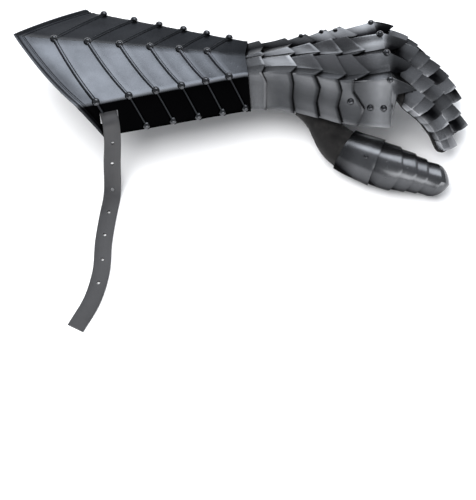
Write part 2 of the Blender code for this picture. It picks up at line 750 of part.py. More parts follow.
def ribbon(name, line, normals, width_axis, width, finish):
    """Flat strap along a line: its outer face lies half a thickness from the line."""
    rows = []
    for point, normal, side in zip(line, normals, width_axis):
        edge = side * width / 2
        up = normal * strap_leather / 2
        rows.append([point - edge + up, point + edge + up, point + edge - up, point - edge - up])
    points = np.array(rows).reshape(-1, 3)
    count = len(rows)
    faces = []
    for i in range(count - 1):
        for j in range(4):
            k = (j + 1) % 4
            faces.append((i * 4 + j, i * 4 + k, i * 4 + 4 + k, i * 4 + 4 + j))
    faces += [(3, 2, 1, 0), tuple((count - 1) * 4 + j for j in range(4))]
    return solid(name, points, faces, finish)


def rest_matrix():
    return Matrix.Rotation(rest_pitch, 3, "Y") @ Matrix.Rotation(rest_roll, 3, "X")


def strap_line(floor_height):
    """Line, normals and width directions of the cuff strap, and the length along it."""
    centre, out, down, _ = slot_centre()
    up = np.array(rest_matrix()).T @ np.array([0.0, 0.0, 1.0])
    half = strap_leather / 2
    inside = centre - out * (steel + gap + half) - down * strap_inside
    turn_in = centre - out * (steel + gap + half) - down * strap_bend
    turn_out = centre + out * (rib_height + gap + half) + down * strap_bend
    low = centre + out * (rib_height + 3 * gap + half) + down * strap_outside
    flat = np.array([0.0, -1.0, 0.0])
    flat = flat - up * flat.dot(up)
    flat /= np.linalg.norm(flat)
    height = low.dot(up) - floor_height - half
    start = low + flat * height * 0.62 - up * height
    halfway = (low + start) / 2 - flat * height * 0.10
    knots = [inside, turn_in, turn_out, low, halfway, start]
    sway = ((0.014, -0.0020), (0.042, -0.0050), (0.072, -0.0060), (0.098, -0.0120), (0.125, -0.0250))
    for distance, shift in sway:
        knots.append(start + flat * distance + np.array([1.0, 0, 0]) * shift)
    return np.array(knots), up, out


def resample(knots, spacing):
    """Even points along a smooth curve through the knots."""
    lengths = np.concatenate([[0], np.cumsum(np.linalg.norm(np.diff(knots, axis=0), axis=1))])
    at = np.linspace(0, lengths[-1], int(lengths[-1] / spacing) + 1)
    return np.stack([blend(at, lengths, knots[:, k]) for k in range(3)], axis=-1), at


def make_cuff_strap(floor_height):
    knots, up, out = strap_line(floor_height)
    line, at = resample(knots, 0.0055)
    ahead = np.gradient(line, axis=0)
    ahead /= np.linalg.norm(ahead, axis=1, keepdims=True)
    on_floor = smooth((at - 0.03) / 0.05)[:, None]
    flat = np.array([1.0, 0, 0]) - up * up[0]
    side = slot_centre()[3] * (1 - on_floor) + flat * on_floor
    side = side - ahead * np.sum(side * ahead, axis=1, keepdims=True)
    side /= np.linalg.norm(side, axis=1, keepdims=True)
    normals = np.cross(ahead, side)
    strap = ribbon("cuff_strap", line, normals, side, strap_width, strap_black("strap leather"))
    points, faces = [], []
    for number in range(strap_hole_count):
        spot = first_strap_hole + strap_hole_pitch * number
        k = int(np.argmin(np.abs(at - spot)))
        deep = normals[k] * strap_leather * 2
        hole_points, hole_faces = rod(line[k] - deep, line[k] + deep, strap_hole / 2)
        faces += [tuple(i + len(points) for i in face) for face in hole_faces]
        points += hole_points
    boolean(strap, solid("holes", points, faces, strap.data.materials[0]), "DIFFERENCE")
    under = strap_leather / 2 + gap * 2 + small_rivet_radius * 0.22
    head = line[0] - out * under + slot_centre()[2] * strap_bend
    points, faces = dome_mesh(head, -out, small_rivet_radius)
    solid("cuff_strap_rivet", points, faces, blackened_steel("strap rivet"))


def rod(start, end, radius, sides=8):
    """Points and faces of a plain rod between two points."""
    axis = Vector(end) - Vector(start)
    turn = axis.to_track_quat("Z", "Y").to_matrix()
    points = []
    for height in (0.0, axis.length):
        for k in range(sides):
            angle = 2 * math.pi * k / sides
            spot = Vector((radius * math.cos(angle), radius * math.sin(angle), height))
            points.append(Vector(start) + turn @ spot)
    faces = [tuple(reversed(range(sides))), tuple(range(sides, 2 * sides))]
    for k in range(sides):
        faces.append((k, (k + 1) % sides, sides + (k + 1) % sides, sides + k))
    return points, faces


def make_palm_strap():
    """Plain strap under the palm, its ends up inside the plates' side walls."""
    half = strap_leather / 2
    wall = hand_point(np.float64(palm_strap_at), np.array([8.0, 7.4]))
    inset = plate_step + steel + half + gap + palm_strap_inset
    low = glove_ring(palm_strap_at / hand_length)[:, 2].min() - gap - half - 0.0012
    knots = []
    for side in (-1, 1):
        end = [np.array([palm_strap_at, side * (wall[1, 1] - inset), wall[1, 2] + 0.004]),
               np.array([palm_strap_at, side * (wall[0, 1] - inset - 0.0012), wall[0, 2] + 0.004]),
               np.array([palm_strap_at, side * (wall[0, 1] - inset - 0.006), low - 0.0005]),
               np.array([palm_strap_at, side * 0.020, low - 0.0002])]
        knots += end if side < 0 else end[::-1]
    line, _ = resample(np.array(knots), 0.0045)
    ahead = np.gradient(line, axis=0)
    ahead /= np.linalg.norm(ahead, axis=1, keepdims=True)
    side = np.tile([1.0, 0, 0], (len(line), 1))
    ribbon("palm_strap", line, np.cross(ahead, side), side, palm_strap_width, strap_black("palm leather"))


def make_buckle():
    """Short strap down the inside of the far wall, with a square single-bar buckle on its end."""
    half = strap_leather / 2
    wall = cuff_point(np.full(2, buckle_strap_at), np.array([2.5, 4.0]))
    down = (wall[1] - wall[0]) / np.linalg.norm(wall[1] - wall[0])
    out = np.cross(np.array([1.0, 0, 0]), down)
    out = out if out[1] > 0 else -out
    start = wall[0] - out * (steel + gap + half + 0.0020)
    bend = wall[1] - out * (steel + gap + half + 0.0042) - down * 0.002
    inward = np.array([0.0, -1.0, -0.20])
    inward /= np.linalg.norm(inward)
    end = bend + inward * buckle_strap_reach + down * 0.002
    knots = [start, (start + bend) / 2, bend, (bend + end) / 2 + down * 0.001, end]
    line, _ = resample(np.array(knots), 0.005)
    ahead = np.gradient(line, axis=0)
    ahead /= np.linalg.norm(ahead, axis=1, keepdims=True)
    side = np.tile([1.0, 0, 0], (len(line), 1))
    normals = np.cross(ahead, side)
    ribbon("buckle_strap", line, normals, side, strap_width, strap_black("buckle leather"))
    forward = ahead[-1]
    centre = line[-1] + forward * (gap + buckle_length / 2)
    frame = []
    for long_size, wide_size in ((buckle_length, buckle_width),
                                 (buckle_length - 2 * buckle_wire, buckle_width - 2 * buckle_wire)):
        for a, b in ((-0.5, -0.5), (0.5, -0.5), (0.5, 0.5), (-0.5, 0.5)):
            frame.append(centre + forward * long_size * a + side[-1] * wide_size * b)
    up = normals[-1] * buckle_wire / 2
    points = [p + up for p in frame] + [p - up for p in frame]
    faces = []
    for k in range(4):
        m = (k + 1) % 4
        faces += [(k, m, m + 4, k + 4), (k + 8, k + 12, m + 12, m + 8), (k, k + 8, m + 8, m),
                  (k + 4, m + 4, m + 12, k + 12)]
    buckle = solid("buckle", points, faces, material("nickel", (0.62, 0.61, 0.58), 0.28, 1.0))
    reach = side[-1] * buckle_width * 0.42
    bar_points, bar_faces = rod(centre - reach, centre + reach, buckle_wire * 0.42)
    boolean(buckle, solid("bar", bar_points, bar_faces, buckle.data.materials[0]), "UNION")


def lowest(turn):
    """Lowest height of everything modelled so far, once turned into the resting pose."""
    heights = []
    for made in bpy.data.objects:
        corners = np.array([vertex.co for vertex in made.data.vertices])
        heights.append((corners @ turn.T)[:, 2].min())
    return min(heights)


def settle():
    """Turn everything into the resting pose, with the middle of its foot at the origin."""
    holder = bpy.data.objects.new("gauntlet", None)
    bpy.context.scene.collection.objects.link(holder)
    turn = np.array(rest_matrix())
    low, high = [], []
    for made in bpy.data.objects:
        if made.type == "MESH":
            corners = np.array([vertex.co for vertex in made.data.vertices]) @ turn.T
            low.append(corners.min(axis=0))
            high.append(corners.max(axis=0))
            made.parent = holder
    low, high = np.min(low, axis=0), np.max(high, axis=0)
    holder.rotation_euler = (rest_roll, rest_pitch, 0)
    holder.location = (-(low[0] + high[0]) / 2, -(low[1] + high[1]) / 2, -low[2])


clear_scene()
make_cuff()
make_hand_plates()
make_knuckle_plate()
for finger_name, finger_row in fingers.items():
    make_scales(finger_name, finger_row)
make_thumb()
make_glove()
make_palm_strap()
make_buckle()
make_cuff_strap(lowest(np.array(rest_matrix())))
settle()
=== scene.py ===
"""Dressed model of an armoured left-hand gauntlet lying on a pale floor."""

import math

import bmesh
import bpy
import numpy as np
from mathutils import Matrix, Vector
from mathutils.bvhtree import BVHTree
from mathutils.kdtree import KDTree


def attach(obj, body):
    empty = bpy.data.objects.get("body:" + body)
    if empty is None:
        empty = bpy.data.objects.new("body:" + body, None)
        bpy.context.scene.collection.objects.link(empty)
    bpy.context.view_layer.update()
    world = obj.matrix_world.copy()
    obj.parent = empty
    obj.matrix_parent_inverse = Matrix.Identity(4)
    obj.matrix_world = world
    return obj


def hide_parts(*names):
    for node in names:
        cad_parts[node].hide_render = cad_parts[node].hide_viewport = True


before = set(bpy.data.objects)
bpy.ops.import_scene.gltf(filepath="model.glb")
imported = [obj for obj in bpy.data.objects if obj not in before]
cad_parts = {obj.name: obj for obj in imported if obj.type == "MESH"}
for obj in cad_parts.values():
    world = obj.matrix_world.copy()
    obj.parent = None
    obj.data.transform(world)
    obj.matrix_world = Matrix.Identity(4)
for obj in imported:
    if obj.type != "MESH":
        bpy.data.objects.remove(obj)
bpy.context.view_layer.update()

# Pose of the gauntlet's own frame: X to the fingers, +Y to the little finger, +Z out of the hand's back
REST_ROLL = math.radians(-21.15)
REST_PITCH = math.radians(-2.15)
TURN = np.array(Matrix.Rotation(REST_PITCH, 3, "Y") @ Matrix.Rotation(REST_ROLL, 3, "X"))
SHIFT = np.array([0.000310, 0.086203, 0.061366])
FLOOR = -0.060364

# Cuff sizes
CUFF_LENGTH = 0.201
CREASE_SETBACK = 0.0566
MOUTH_WIDTH = 0.1418
WRIST_WIDTH = 0.0482
MOUTH_RIDGE = 0.0230
WRIST_RIDGE = 0.0026
MOUTH_WALL = 0.0300
WRIST_WALL = 0.0350
WALL_FLARE = 0.0085
FIRST_RIB = 0.0350
RIB_PITCH = 0.0289
RIB_PITCH_RATIO = 0.958
RIB_COUNT = 6
RIB_SWEEP = 0.55
RIB_WIDTH = 0.0034
RIB_HEIGHT = 0.0014
RIM_INSET = 0.0085

# Steel sizes
STEEL = 0.0012
SCALE_STEEL = 0.0010
RIVET = 0.0028
SMALL_RIVET = 0.0019
GAP = 0.0003
PLATE_STEP = 0.0031
FIRST_STEP = 0.0006
OVERLAP = 0.0080
CUFF_BEVEL = 0.00035
PLATE_BEVEL = 0.0005
SCALE_BEVEL = 0.00028
LAME_RIVET_INSET = 0.0040
SIDE_RIVET_INSET = 0.0120
KNUCKLE_RIVET_INSET = 0.0020
KNUCKLE_SIDE_RIVETS = (0.0062, 0.0175)
# Gain of the painted highlights where a tone goes below zero
PAINTED_HIGHLIGHT_GAIN = 1.9

# Hand sizes
HAND_LENGTH = 0.1260
KNUCKLE_WIDTH = 0.0860
KNUCKLE_RISE = 0.0099
MIDDLE_RISE = 0.0169
PLEAT_DEPTH = 0.0070
HAND_WALL = 0.0380
HAND_FLARE = 0.0096
LOBE = 0.0260
PINKY_LOBE = 0.0200

# Finger and thumb sizes
FINGER_RADIUS = 0.0106
TIP_RADIUS = 0.0090
SCALE_STEP = 0.0021
SCALE_POINT = 0.0060
SCALE_START = 0.0160
SCALE_SEAT = 0.0036
SPREAD = 0.93
THUMB_LENGTH = 0.1020
THUMB_RADIUS = 0.0195
THUMB_ROOT = 0.0115
THUMB_TIP = 0.0125
FINGER_CAP = 0.0080
THUMB_CAP = 0.0075
THUMB_PLATE_CAP = 0.0090
CAP_SHARES = (0.22, 0.42, 0.6, 0.76, 0.88, 0.96)

# Leather sizes
SUEDE = 0.0015
CLEARANCE = 0.0009
ROOT_SQUEEZE = 0.0011
ROOT_LENGTH = 0.0060
ROOT_GATHER = 0.27
ROOT_HEIGHT = 0.0048
STRAP = 0.0020
SLEEVE = 0.1200
FOLD = 0.0007
FINGER_FOLD = 0.00045
THUMB_FOLD = 0.0006
STRAP_WIDTH = 0.0149
STRAP_AT = -0.1160
STRAP_INSIDE = 0.0110
STRAP_OUTSIDE = 0.0150
STRAP_BEND = 0.0030
SLOT_LENGTH = STRAP_WIDTH + 4 * GAP
SLOT_HEIGHT = 0.0105
SLOT_DEPTH = 0.0120
HOLE = 0.0030
HOLE_COUNT = 7
FIRST_HOLE = 0.0360
HOLE_PITCH = 0.0230
PALM_WIDTH = 0.0100
PALM_AT = 0.0980
PALM_INSET = 0.0034
BUCKLE_AT = -0.0900
BUCKLE_REACH = 0.0220
BUCKLE_LENGTH = 0.0250
BUCKLE_WIDTH = 0.0210
BUCKLE_CORNER = 0.0030
WIRE = 0.0032
LINE_SPACING = 0.0015
COARSE_SPACING = 0.0050
AHEAD = np.array([1.0, 0.0, 0.0])
COARSE_TURNS = np.radians(90 - np.arange(24) * 15.0)

# Sections of the hand, as shares of the knuckle's place, width, rise and pleat depth
HAND = {
    "along":   [0.00, 0.25, 0.38, 0.52, 0.65, 0.81, 1.00],
    "outer_y": [0.56, 0.56, 0.64, 0.76, 0.88, 0.95, 1.00],
    "outer_z": [0.00, 0.22, 0.29, 0.32, 0.38, 0.62, 1.00],
    "inner_y": [0.05, 0.13, 0.17, 0.22, 0.29, 0.33, 0.34],
    "inner_z": [0.10, 0.32, 0.45, 0.59, 0.69, 0.83, 1.00],
    "pleat":   [0.03, 0.19, 0.34, 0.62, 0.98, 1.00, 1.00],
    "foot":    [0.50, 0.50, 0.52, 0.54, 0.56, 0.58, 0.60],
    "flare":   [0.84, 0.84, 0.86, 0.90, 0.94, 0.98, 1.00],
    "drop":    [0.88, 0.92, 0.94, 0.96, 0.98, 1.00, 1.00],
}

# Far edges of the hand plates, as shares of the hand's length: ridge, valley, side's top, side and foot
EDGES = {
    "cuff_plate":   (0.00, 0.02, 0.01, 0.02, 0.02),
    "wrist_lame_1": (0.11, 0.14, 0.15, 0.15, 0.15),
    "wrist_lame_2": (0.31, 0.36, 0.33, 0.325, 0.34),
    "hand_lame_1":  (0.47, 0.54, 0.51, 0.49, 0.51),
    "hand_lame_2":  (0.63, 0.70, 0.66, 0.635, 0.67),
    "hand_lame_3":  (0.74, 0.86, 0.74, 0.82, 0.78),
}
EDGE_COLUMNS = [0, 1, 2, 3, 4, 5, 6, 6.6, 7.3, 8]

FINGERS = {
    "index":  {"column": -6, "knuckle": 1.000, "length": 0.0960, "droop": (26, 73), "scales": 6},
    "middle": {"column": -2, "knuckle": 0.986, "length": 0.1060, "droop": (30, 62), "scales": 6},
    "ring":   {"column": 2, "knuckle": 0.952, "length": 0.1020, "droop": (18, 66), "scales": 6},
    "pinky":  {"column": 6, "knuckle": 0.903, "length": 0.0830, "droop": (12, 73), "scales": 5},
}

FINGER_OUT = [0.00, 0.62, 1.00, 0.98, 0.60, 0.00]
FINGER_DOWN = [0.00, 0.48, 1.05, 1.50, 2.15, 2.30]

THUMB = {
    "at":    [0.00, 0.12, 0.28, 0.46, 0.74, 1.00],
    "along": [0.40, 0.51, 0.66, 0.90, 1.145, 1.326],
    "out":   [0.20, 0.25, 0.43, 0.55, 0.62, 0.66],
    "down":  [0.38, 0.48, 0.63, 0.71, 0.775, 0.832],
}

GLOVE = {
    "along":  [-1.00, -0.75, -0.45, -0.15, 0.12, 0.35, 0.62, 0.80, 0.97],
    "half":   [0.881, 0.901, 0.889, 0.835, 0.870, 0.827, 0.842, 0.872, 0.937],
    "top":    [0.094, 0.031, -0.030, -0.145, -0.190, -0.183, -0.189, -0.132, 0.092],
    "bottom": [-0.906, -0.946, -1.025, -1.056, -1.097, -1.055, -0.998, -0.869, -0.697],
    "power":  [2.3, 2.3, 2.3, 2.3, 2.4, 2.6, 3.0, 3.6, 6.0],
}


def blend(x, knots, values):
    """Smooth curve through the rows of a table."""
    knots = np.asarray(knots, float)
    values = np.asarray(values, float)
    x = np.clip(x, knots[0], knots[-1])
    i = np.clip(np.searchsorted(knots, x) - 1, 0, len(knots) - 2)
    slope = np.gradient(values, knots)
    h = knots[i + 1] - knots[i]
    t = (x - knots[i]) / h
    start = (2 * t**3 - 3 * t**2 + 1) * values[i] + (t**3 - 2 * t**2 + t) * h * slope[i]
    end = (3 * t**2 - 2 * t**3) * values[i + 1] + (t**3 - t**2) * h * slope[i + 1]
    return start + end


def smooth(t):
    """Soft step from 0 to 1."""
    t = np.clip(t, 0, 1)
    return t * t * (3 - 2 * t)


def unit(vectors):
    vectors = np.asarray(vectors, float)
    return vectors / np.linalg.norm(vectors, axis=-1, keepdims=True)


def fill(stops, count):
    """Each stretch between stops split into a number of even parts."""
    stops = np.asarray(stops, float)
    parts = [np.linspace(a, b, count, endpoint=False) for a, b in zip(stops, stops[1:])]
    return np.concatenate([*parts, stops[-1:]])


def mirrored(half, middle):
    """Whole profile from one half and its middle point."""
    return [*half, middle, *((-a, b) for a, b in reversed(half))]


# Surfaces of the design


def cuff_size(x):
    """Half width, ridge height and wall depth of the cuff."""
    share = np.clip((x + CUFF_LENGTH) / CUFF_LENGTH, 0, 1)
    crease_share = CREASE_SETBACK / CUFF_LENGTH
    half = MOUTH_WIDTH / 2 + (WRIST_WIDTH - MOUTH_WIDTH) / 2 * (share - crease_share) / (1 - crease_share)
    rise = MOUTH_RIDGE + (WRIST_RIDGE - MOUTH_RIDGE) * share
    return half, rise, MOUTH_WALL + (WRIST_WALL - MOUTH_WALL) * share


def roof_and_wall(across):
    """How far a column has gone over the cuff's roof, 0 to 2, and down its wall, 2 to 4."""
    reach = np.abs(across)
    return np.clip(reach / 2, 0, 1), np.clip((reach - 2) / 2, 0, 1)


def cuff_point(x, across):
    half, rise, depth = cuff_size(x)
    roof, wall = roof_and_wall(across)
    y = half * roof + WALL_FLARE * wall**1.15
    z = rise * (1 - roof) - depth * wall
    return np.stack([x + 0 * y, np.sign(across) * y, z], axis=-1)


def cuff_row_x(ridge_x, sweep, across):
    """X along a row that starts at the ridge and sweeps towards the hand."""
    half = MOUTH_WIDTH / 2 * np.clip(-ridge_x / CUFF_LENGTH, 0, 1) * 0.92 + WRIST_WIDTH / 2
    half = np.minimum(half, MOUTH_WIDTH / 2)
    roof, wall = roof_and_wall(across)
    return ridge_x + sweep * (half * roof + MOUTH_WALL * wall * 0.95)


def finger_share(across):
    """Place across the hand from 0 at the index finger to 3 at the little finger."""
    return np.clip((np.asarray(across, float) + 6) / 4, 0, 3)


def knuckle_x(across):
    return HAND_LENGTH * np.interp(finger_share(across), range(4), [f["knuckle"] for f in FINGERS.values()])


def droop_shift(finger, t):
    """How far a finger has run forward and down, and its angle, at a length past the knuckle."""
    low, high = (math.radians(a) for a in finger["droop"])
    turn = (high - low) / finger["length"]
    angle = low + turn * np.clip(t, 0, None)
    forward = (np.sin(angle) - math.sin(low)) / turn + np.clip(t, None, 0)
    slope = angle * smooth((t + ROOT_LENGTH) / (8 * ROOT_LENGTH))
    return forward, (math.cos(low) - np.cos(angle)) / turn, slope


def hand_point(x, across):
    """Outer surface of the hand plates: columns -8 to 8 from the thumb's side, with ridges at 2 and 6."""
    x, across = np.broadcast_arrays(np.asarray(x, float), np.asarray(across, float))
    crest = knuckle_x(across)
    share = np.clip(x / crest, 0, 1)
    row = {key: blend(share, HAND["along"], values) for key, values in HAND.items()}
    outer_y = row["outer_y"] * KNUCKLE_WIDTH / 2
    outer_z = row["outer_z"] * KNUCKLE_RISE
    inner_y = row["inner_y"] * KNUCKLE_WIDTH / 2
    inner_z = row["inner_z"] * MIDDLE_RISE
    depth = row["pleat"] * PLEAT_DEPTH
    foot = row["foot"]
    valley_z = (inner_z + outer_z) / 2 - depth
    wide = outer_y - inner_y
    drop = row["drop"] * HAND_WALL
    flare = row["flare"] * HAND_FLARE
    ys = [0 * inner_y, inner_y / 2, inner_y, inner_y + wide / 4, inner_y + wide / 2, inner_y + wide * 3 / 4,
          outer_y, outer_y + flare * 0.45, outer_y + flare]
    zs = [inner_z - depth, inner_z - depth * foot, inner_z, inner_z + (valley_z - inner_z) * foot, valley_z,
          outer_z + (valley_z - outer_z) * foot, outer_z, (outer_z - drop) / 2, -drop]
    reach = np.abs(across)
    low = np.clip(np.floor(reach).astype(int), 0, 7)
    part = reach - low
    y = np.choose(low, ys[:8]) * (1 - part) + np.choose(low, ys[1:]) * part
    z = np.choose(low, zs[:8]) * (1 - part) + np.choose(low, zs[1:]) * part
    past = np.clip(x - crest, 0, None)
    place = finger_share(across)
    ahead = 0 * past
    fall = 0 * past
    for number, finger in enumerate(FINGERS.values()):
        weight = np.clip(1 - np.abs(place - number), 0, 1)
        forward, down, _ = droop_shift(finger, past)
        ahead += weight * forward
        fall += weight * down
    bend = np.clip(8 - reach, 0, 2) / 2
    x = np.minimum(x, crest) + ahead * bend + past * (1 - bend)
    flank = np.clip(reach - 6, 0, 1) * past
    return np.stack([x, np.sign(across) * (y + flank), z + flank * 0.5 - fall * bend], axis=-1)


def edge_at(plate, across):
    """X of a hand plate's far edge."""
    ridge, valley, *side = EDGES[plate]
    middle = (ridge + valley) / 2
    shares = [valley, middle, ridge, middle, valley, middle, ridge, *side]
    return knuckle_x(across) * np.interp(np.abs(across), EDGE_COLUMNS, shares)


def knuckle_far_edge(across):
    lobe = np.where(across > 4, PINKY_LOBE, LOBE)
    shares = [0.25, 0.68, 1.0, 0.68, 0.25, 0.68, 1.0, 0.20, 0.05, 0.0]
    return lobe * np.interp(np.abs(across), EDGE_COLUMNS, shares)


def finger_frame(finger, t):
    forward, down, angle = droop_shift(finger, np.asarray(t, float))
    base = hand_point(HAND_LENGTH * finger["knuckle"], finger["column"])
    zero = 0 * angle
    ridge = np.stack([base[0] + forward, base[1] * SPREAD + zero, base[2] - down], axis=-1)
    out = np.stack([np.sin(angle), zero, np.cos(angle)], axis=-1)
    radius = FINGER_RADIUS + (TIP_RADIUS - FINGER_RADIUS) * np.clip(t / finger["length"], 0, 1)
    return ridge, out, radius


def finger_point(finger, t, around, inset=0.0, round_off=0.0):
    """Surface of a finger; round_off turns its flat facets into a soft section."""
    t, around = np.broadcast_arrays(np.asarray(t, float), np.asarray(around, float))
    ridge, out, radius = finger_frame(finger, t)
    reach = np.abs(around)
    sideways = np.interp(reach, range(6), FINGER_OUT)
    under = np.interp(reach, range(6), FINGER_DOWN)
    if round_off:
        angle = np.pi * reach / 5
        sideways = sideways + (np.sin(angle) - sideways) * round_off
        under = under + (1.15 - 1.15 * np.cos(angle) - under) * round_off
    shape = (np.sign(around) * sideways * (radius - inset))[..., None] * np.array([0.0, 1.0, 0.0])
    return ridge - out * (SCALE_SEAT + inset + under * (radius - inset))[..., None] + shape


def thumb_frame(t):
    """Centre of the thumb with its outward, sideways and forward directions."""
    t = np.asarray(t, float)

    def centre(s):
        x = HAND_LENGTH * blend(s, THUMB["at"], THUMB["along"])
        y = -THUMB_LENGTH * blend(s, THUMB["at"], THUMB["out"])
        z = -THUMB_LENGTH * blend(s, THUMB["at"], THUMB["down"])
        return np.stack([x, y, z], axis=-1)

    inner = np.clip(t, 0.01, 0.99)
    ahead = unit(centre(inner + 0.01) - centre(inner - 0.01))
    middle = centre(t) + ahead * ((t - np.clip(t, 0, 1)) * THUMB_LENGTH)[..., None]
    side = unit(np.cross(np.array([0.0, -0.75, 0.66]) + 0 * ahead, ahead))
    return middle, np.cross(ahead, side), side, ahead


def thumb_point(t, angle, inset=0.0):
    t, angle = np.broadcast_arrays(np.asarray(t, float), np.asarray(angle, float))
    centre, out, side, _ = thumb_frame(t)
    radius = THUMB_RADIUS + (THUMB_TIP - THUMB_RADIUS) * smooth((t - 0.42) / 0.58)
    radius = radius + (THUMB_ROOT - THUMB_RADIUS) * (1 - smooth(t / 0.32))
    peak = 1 + 0.10 * np.clip(1 - np.abs(angle) / 0.6, 0, 1)
    radius = radius * peak - inset
    return centre + out * (radius * np.cos(angle))[..., None] + side * (radius * np.sin(angle))[..., None]


def armour_size(share):
    """Half width and wall depth of the armour over the glove."""
    if share < 0:
        half, _, depth = cuff_size(share * SLEEVE)
        return half, depth
    wide, drop = (blend(share, HAND["along"], HAND[key]) for key in ("outer_y", "drop"))
    return wide * KNUCKLE_WIDTH / 2, drop * HAND_WALL


def glove_ring(share, turns, size=0.0):
    """Section of the suede sleeve and hand."""
    row = {key: blend(share, GLOVE["along"], values) for key, values in GLOVE.items()}
    wide, depth = armour_size(share)
    power = 2 / row["power"]
    half = row["half"] * wide + size
    high = (row["top"] - row["bottom"]) / 2 * depth + size
    y = half * np.sign(np.cos(turns)) * np.abs(np.cos(turns))**power
    middle = (row["top"] + row["bottom"]) / 2 * depth
    z = middle + high * np.sign(np.sin(turns)) * np.abs(np.sin(turns))**power
    place = np.interp(y, [-0.043, -0.0145, 0.0145, 0.043], [-6, -2, 2, 6])
    x = share * np.where(share > 0, knuckle_x(place), SLEEVE)
    return np.stack([x + 0 * y, y, z], axis=-1)


def to_world(points):
    return np.asarray(points, float).reshape(-1, 3) @ TURN.T + SHIFT


# Mesh making


def new_object(name, data):
    made = bpy.data.objects.new(name, data)
    bpy.context.scene.collection.objects.link(made)
    return made


def even_turns(sides):
    """Angles around a circle, from -pi to pi."""
    angles = np.arange(sides) * 2 * np.pi / sides
    return np.where(angles > math.pi, angles - 2 * math.pi, angles)


def add_cap(rows, centre, ahead, height, shares=CAP_SHARES):
    """Rounds off a stack of rings towards a tip ahead of the last one."""
    last = rows[-1]
    caps = [centre + (last - centre) * math.sqrt(1 - share**2) + ahead * height * share for share in shares]
    return [*rows, *caps]


def grid_faces(rows, columns, closed=False):
    i, j = np.meshgrid(np.arange(rows - 1), np.arange(columns if closed else columns - 1), indexing="ij")
    k = (j + 1) % columns
    near, far = i * columns, (i + 1) * columns
    return np.stack([near + j, far + j, far + k, near + k], axis=-1).reshape(-1, 4)


def stack_faces(count, sides):
    """Faces of a closed form made from a stack of rings."""
    faces = [tuple(q) for q in grid_faces(count, sides, closed=True).tolist()]
    return [*faces, tuple(reversed(range(sides))), tuple(range((count - 1) * sides, count * sides))]


def fan(first, tip, sides):
    """Triangles that close a ring on a tip."""
    return [[first + k, tip, first + (k + 1) % sides] for k in range(sides)]


def axes_of(normal):
    """Two directions across a normal."""
    right, up, _ = np.array(Vector(normal).to_track_quat("Z", "Y").to_matrix()).T
    return right, up


def circle(centre, right, up, radius, sides):
    turns = np.arange(sides)[:, None] * 2 * np.pi / sides
    return np.asarray(centre) + (right * np.cos(turns) + up * np.sin(turns)) * radius


def closed_mesh(name, points, faces):
    """Mesh of a closed form, its normals outwards."""
    mesh = bpy.data.meshes.new(name)
    mesh.from_pydata([tuple(p) for p in points], [], [tuple(f) for f in faces])
    work = bmesh.new()
    work.from_mesh(mesh)
    bmesh.ops.recalc_face_normals(work, faces=work.faces)
    work.to_mesh(mesh)
    work.free()
    return mesh


def offset_vectors(points, quads):
    """For each point, the move that shifts all its faces outwards by one."""
    a, b, c, d = (points[quads[:, k]] for k in range(4))
    normals = np.cross(c - a, d - b)
    normals /= np.maximum(np.linalg.norm(normals, axis=1, keepdims=True), 1e-12)
    square = np.zeros((len(points), 3, 3))
    total = np.zeros((len(points), 3))
    outer = normals[:, :, None] * normals[:, None, :]
    for k in range(4):
        np.add.at(square, quads[:, k], outer)
        np.add.at(total, quads[:, k], normals)
    square += np.eye(3) * 0.06
    return np.linalg.solve(square, total[:, :, None])[:, :, 0] * 1.015


def sheet_parts(rows, thickness, lift=0.0, closed=False):
    """Points and faces of a closed wall made from a grid of rows by columns."""
    rows = np.asarray(rows, float)
    points = rows.reshape(-1, 3)
    quads = grid_faces(rows.shape[0], rows.shape[1], closed)
    move = offset_vectors(points, quads)
    lift = np.broadcast_to(np.asarray(lift, float), rows.shape[:2]).reshape(-1, 1)
    outer = points + move * lift
    inner = outer - move * thickness
    count = len(points)
    edges = {(q[k], q[(k + 1) % 4]) for q in quads.tolist() for k in range(4)}
    rims = [(b, a, a + count, b + count) for a, b in edges if (b, a) not in edges]
    faces = quads.tolist() + [[k + count for k in reversed(q)] for q in quads.tolist()] + sorted(rims)
    return np.vstack([outer, inner]), faces


def piece(name, points, faces, materials, node, slot, bevel=0.0, sharp=16.0, cutters=()):
    """One object that rides the body and stands for a CAD node."""
    made = new_object(name, closed_mesh(name, to_world(points), faces))
    for cutter in cutters:
        cut(made, *cutter)
    mesh = made.data
    if bevel:
        work = bmesh.new()
        work.from_mesh(mesh)
        angle = math.radians(sharp)
        edges = [e for e in work.edges if len(e.link_faces) == 2 and e.calc_face_angle(0.0) > angle]
        bmesh.ops.bevel(work, geom=edges, offset=bevel, segments=2, profile=0.6, affect="EDGES",
                        clamp_overlap=True)
        work.to_mesh(mesh)
        work.free()
    for used in materials:
        mesh.materials.append(used)
    mesh.shade_smooth()
    mesh.set_sharp_from_angle(angle=math.radians(38))
    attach(made, "root")
    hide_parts(node)
    return made


def dome(seat, normal, radius, sides=20):
    """Points and faces of a polished rivet head with a thin foot."""
    profile = [(1.10, -0.30), (1.14, 0.02), (1.08, 0.10)]
    profile += [(1.06 * math.cos(a), 0.10 + 0.86 * math.sin(a)) for a in np.radians([10, 26, 44, 64])]
    out = unit(normal) * radius
    rings = [circle(seat + out * height, *axes_of(normal), size * radius, sides) for size, height in profile]
    points = np.vstack([*rings, seat + out * 0.96, seat - out * 0.3])
    top = len(points) - 2
    faces = grid_faces(len(profile), sides, closed=True).tolist() + fan(top - sides, top, sides)
    return points, [face[::-1] for face in faces] + fan(0, top + 1, sides)


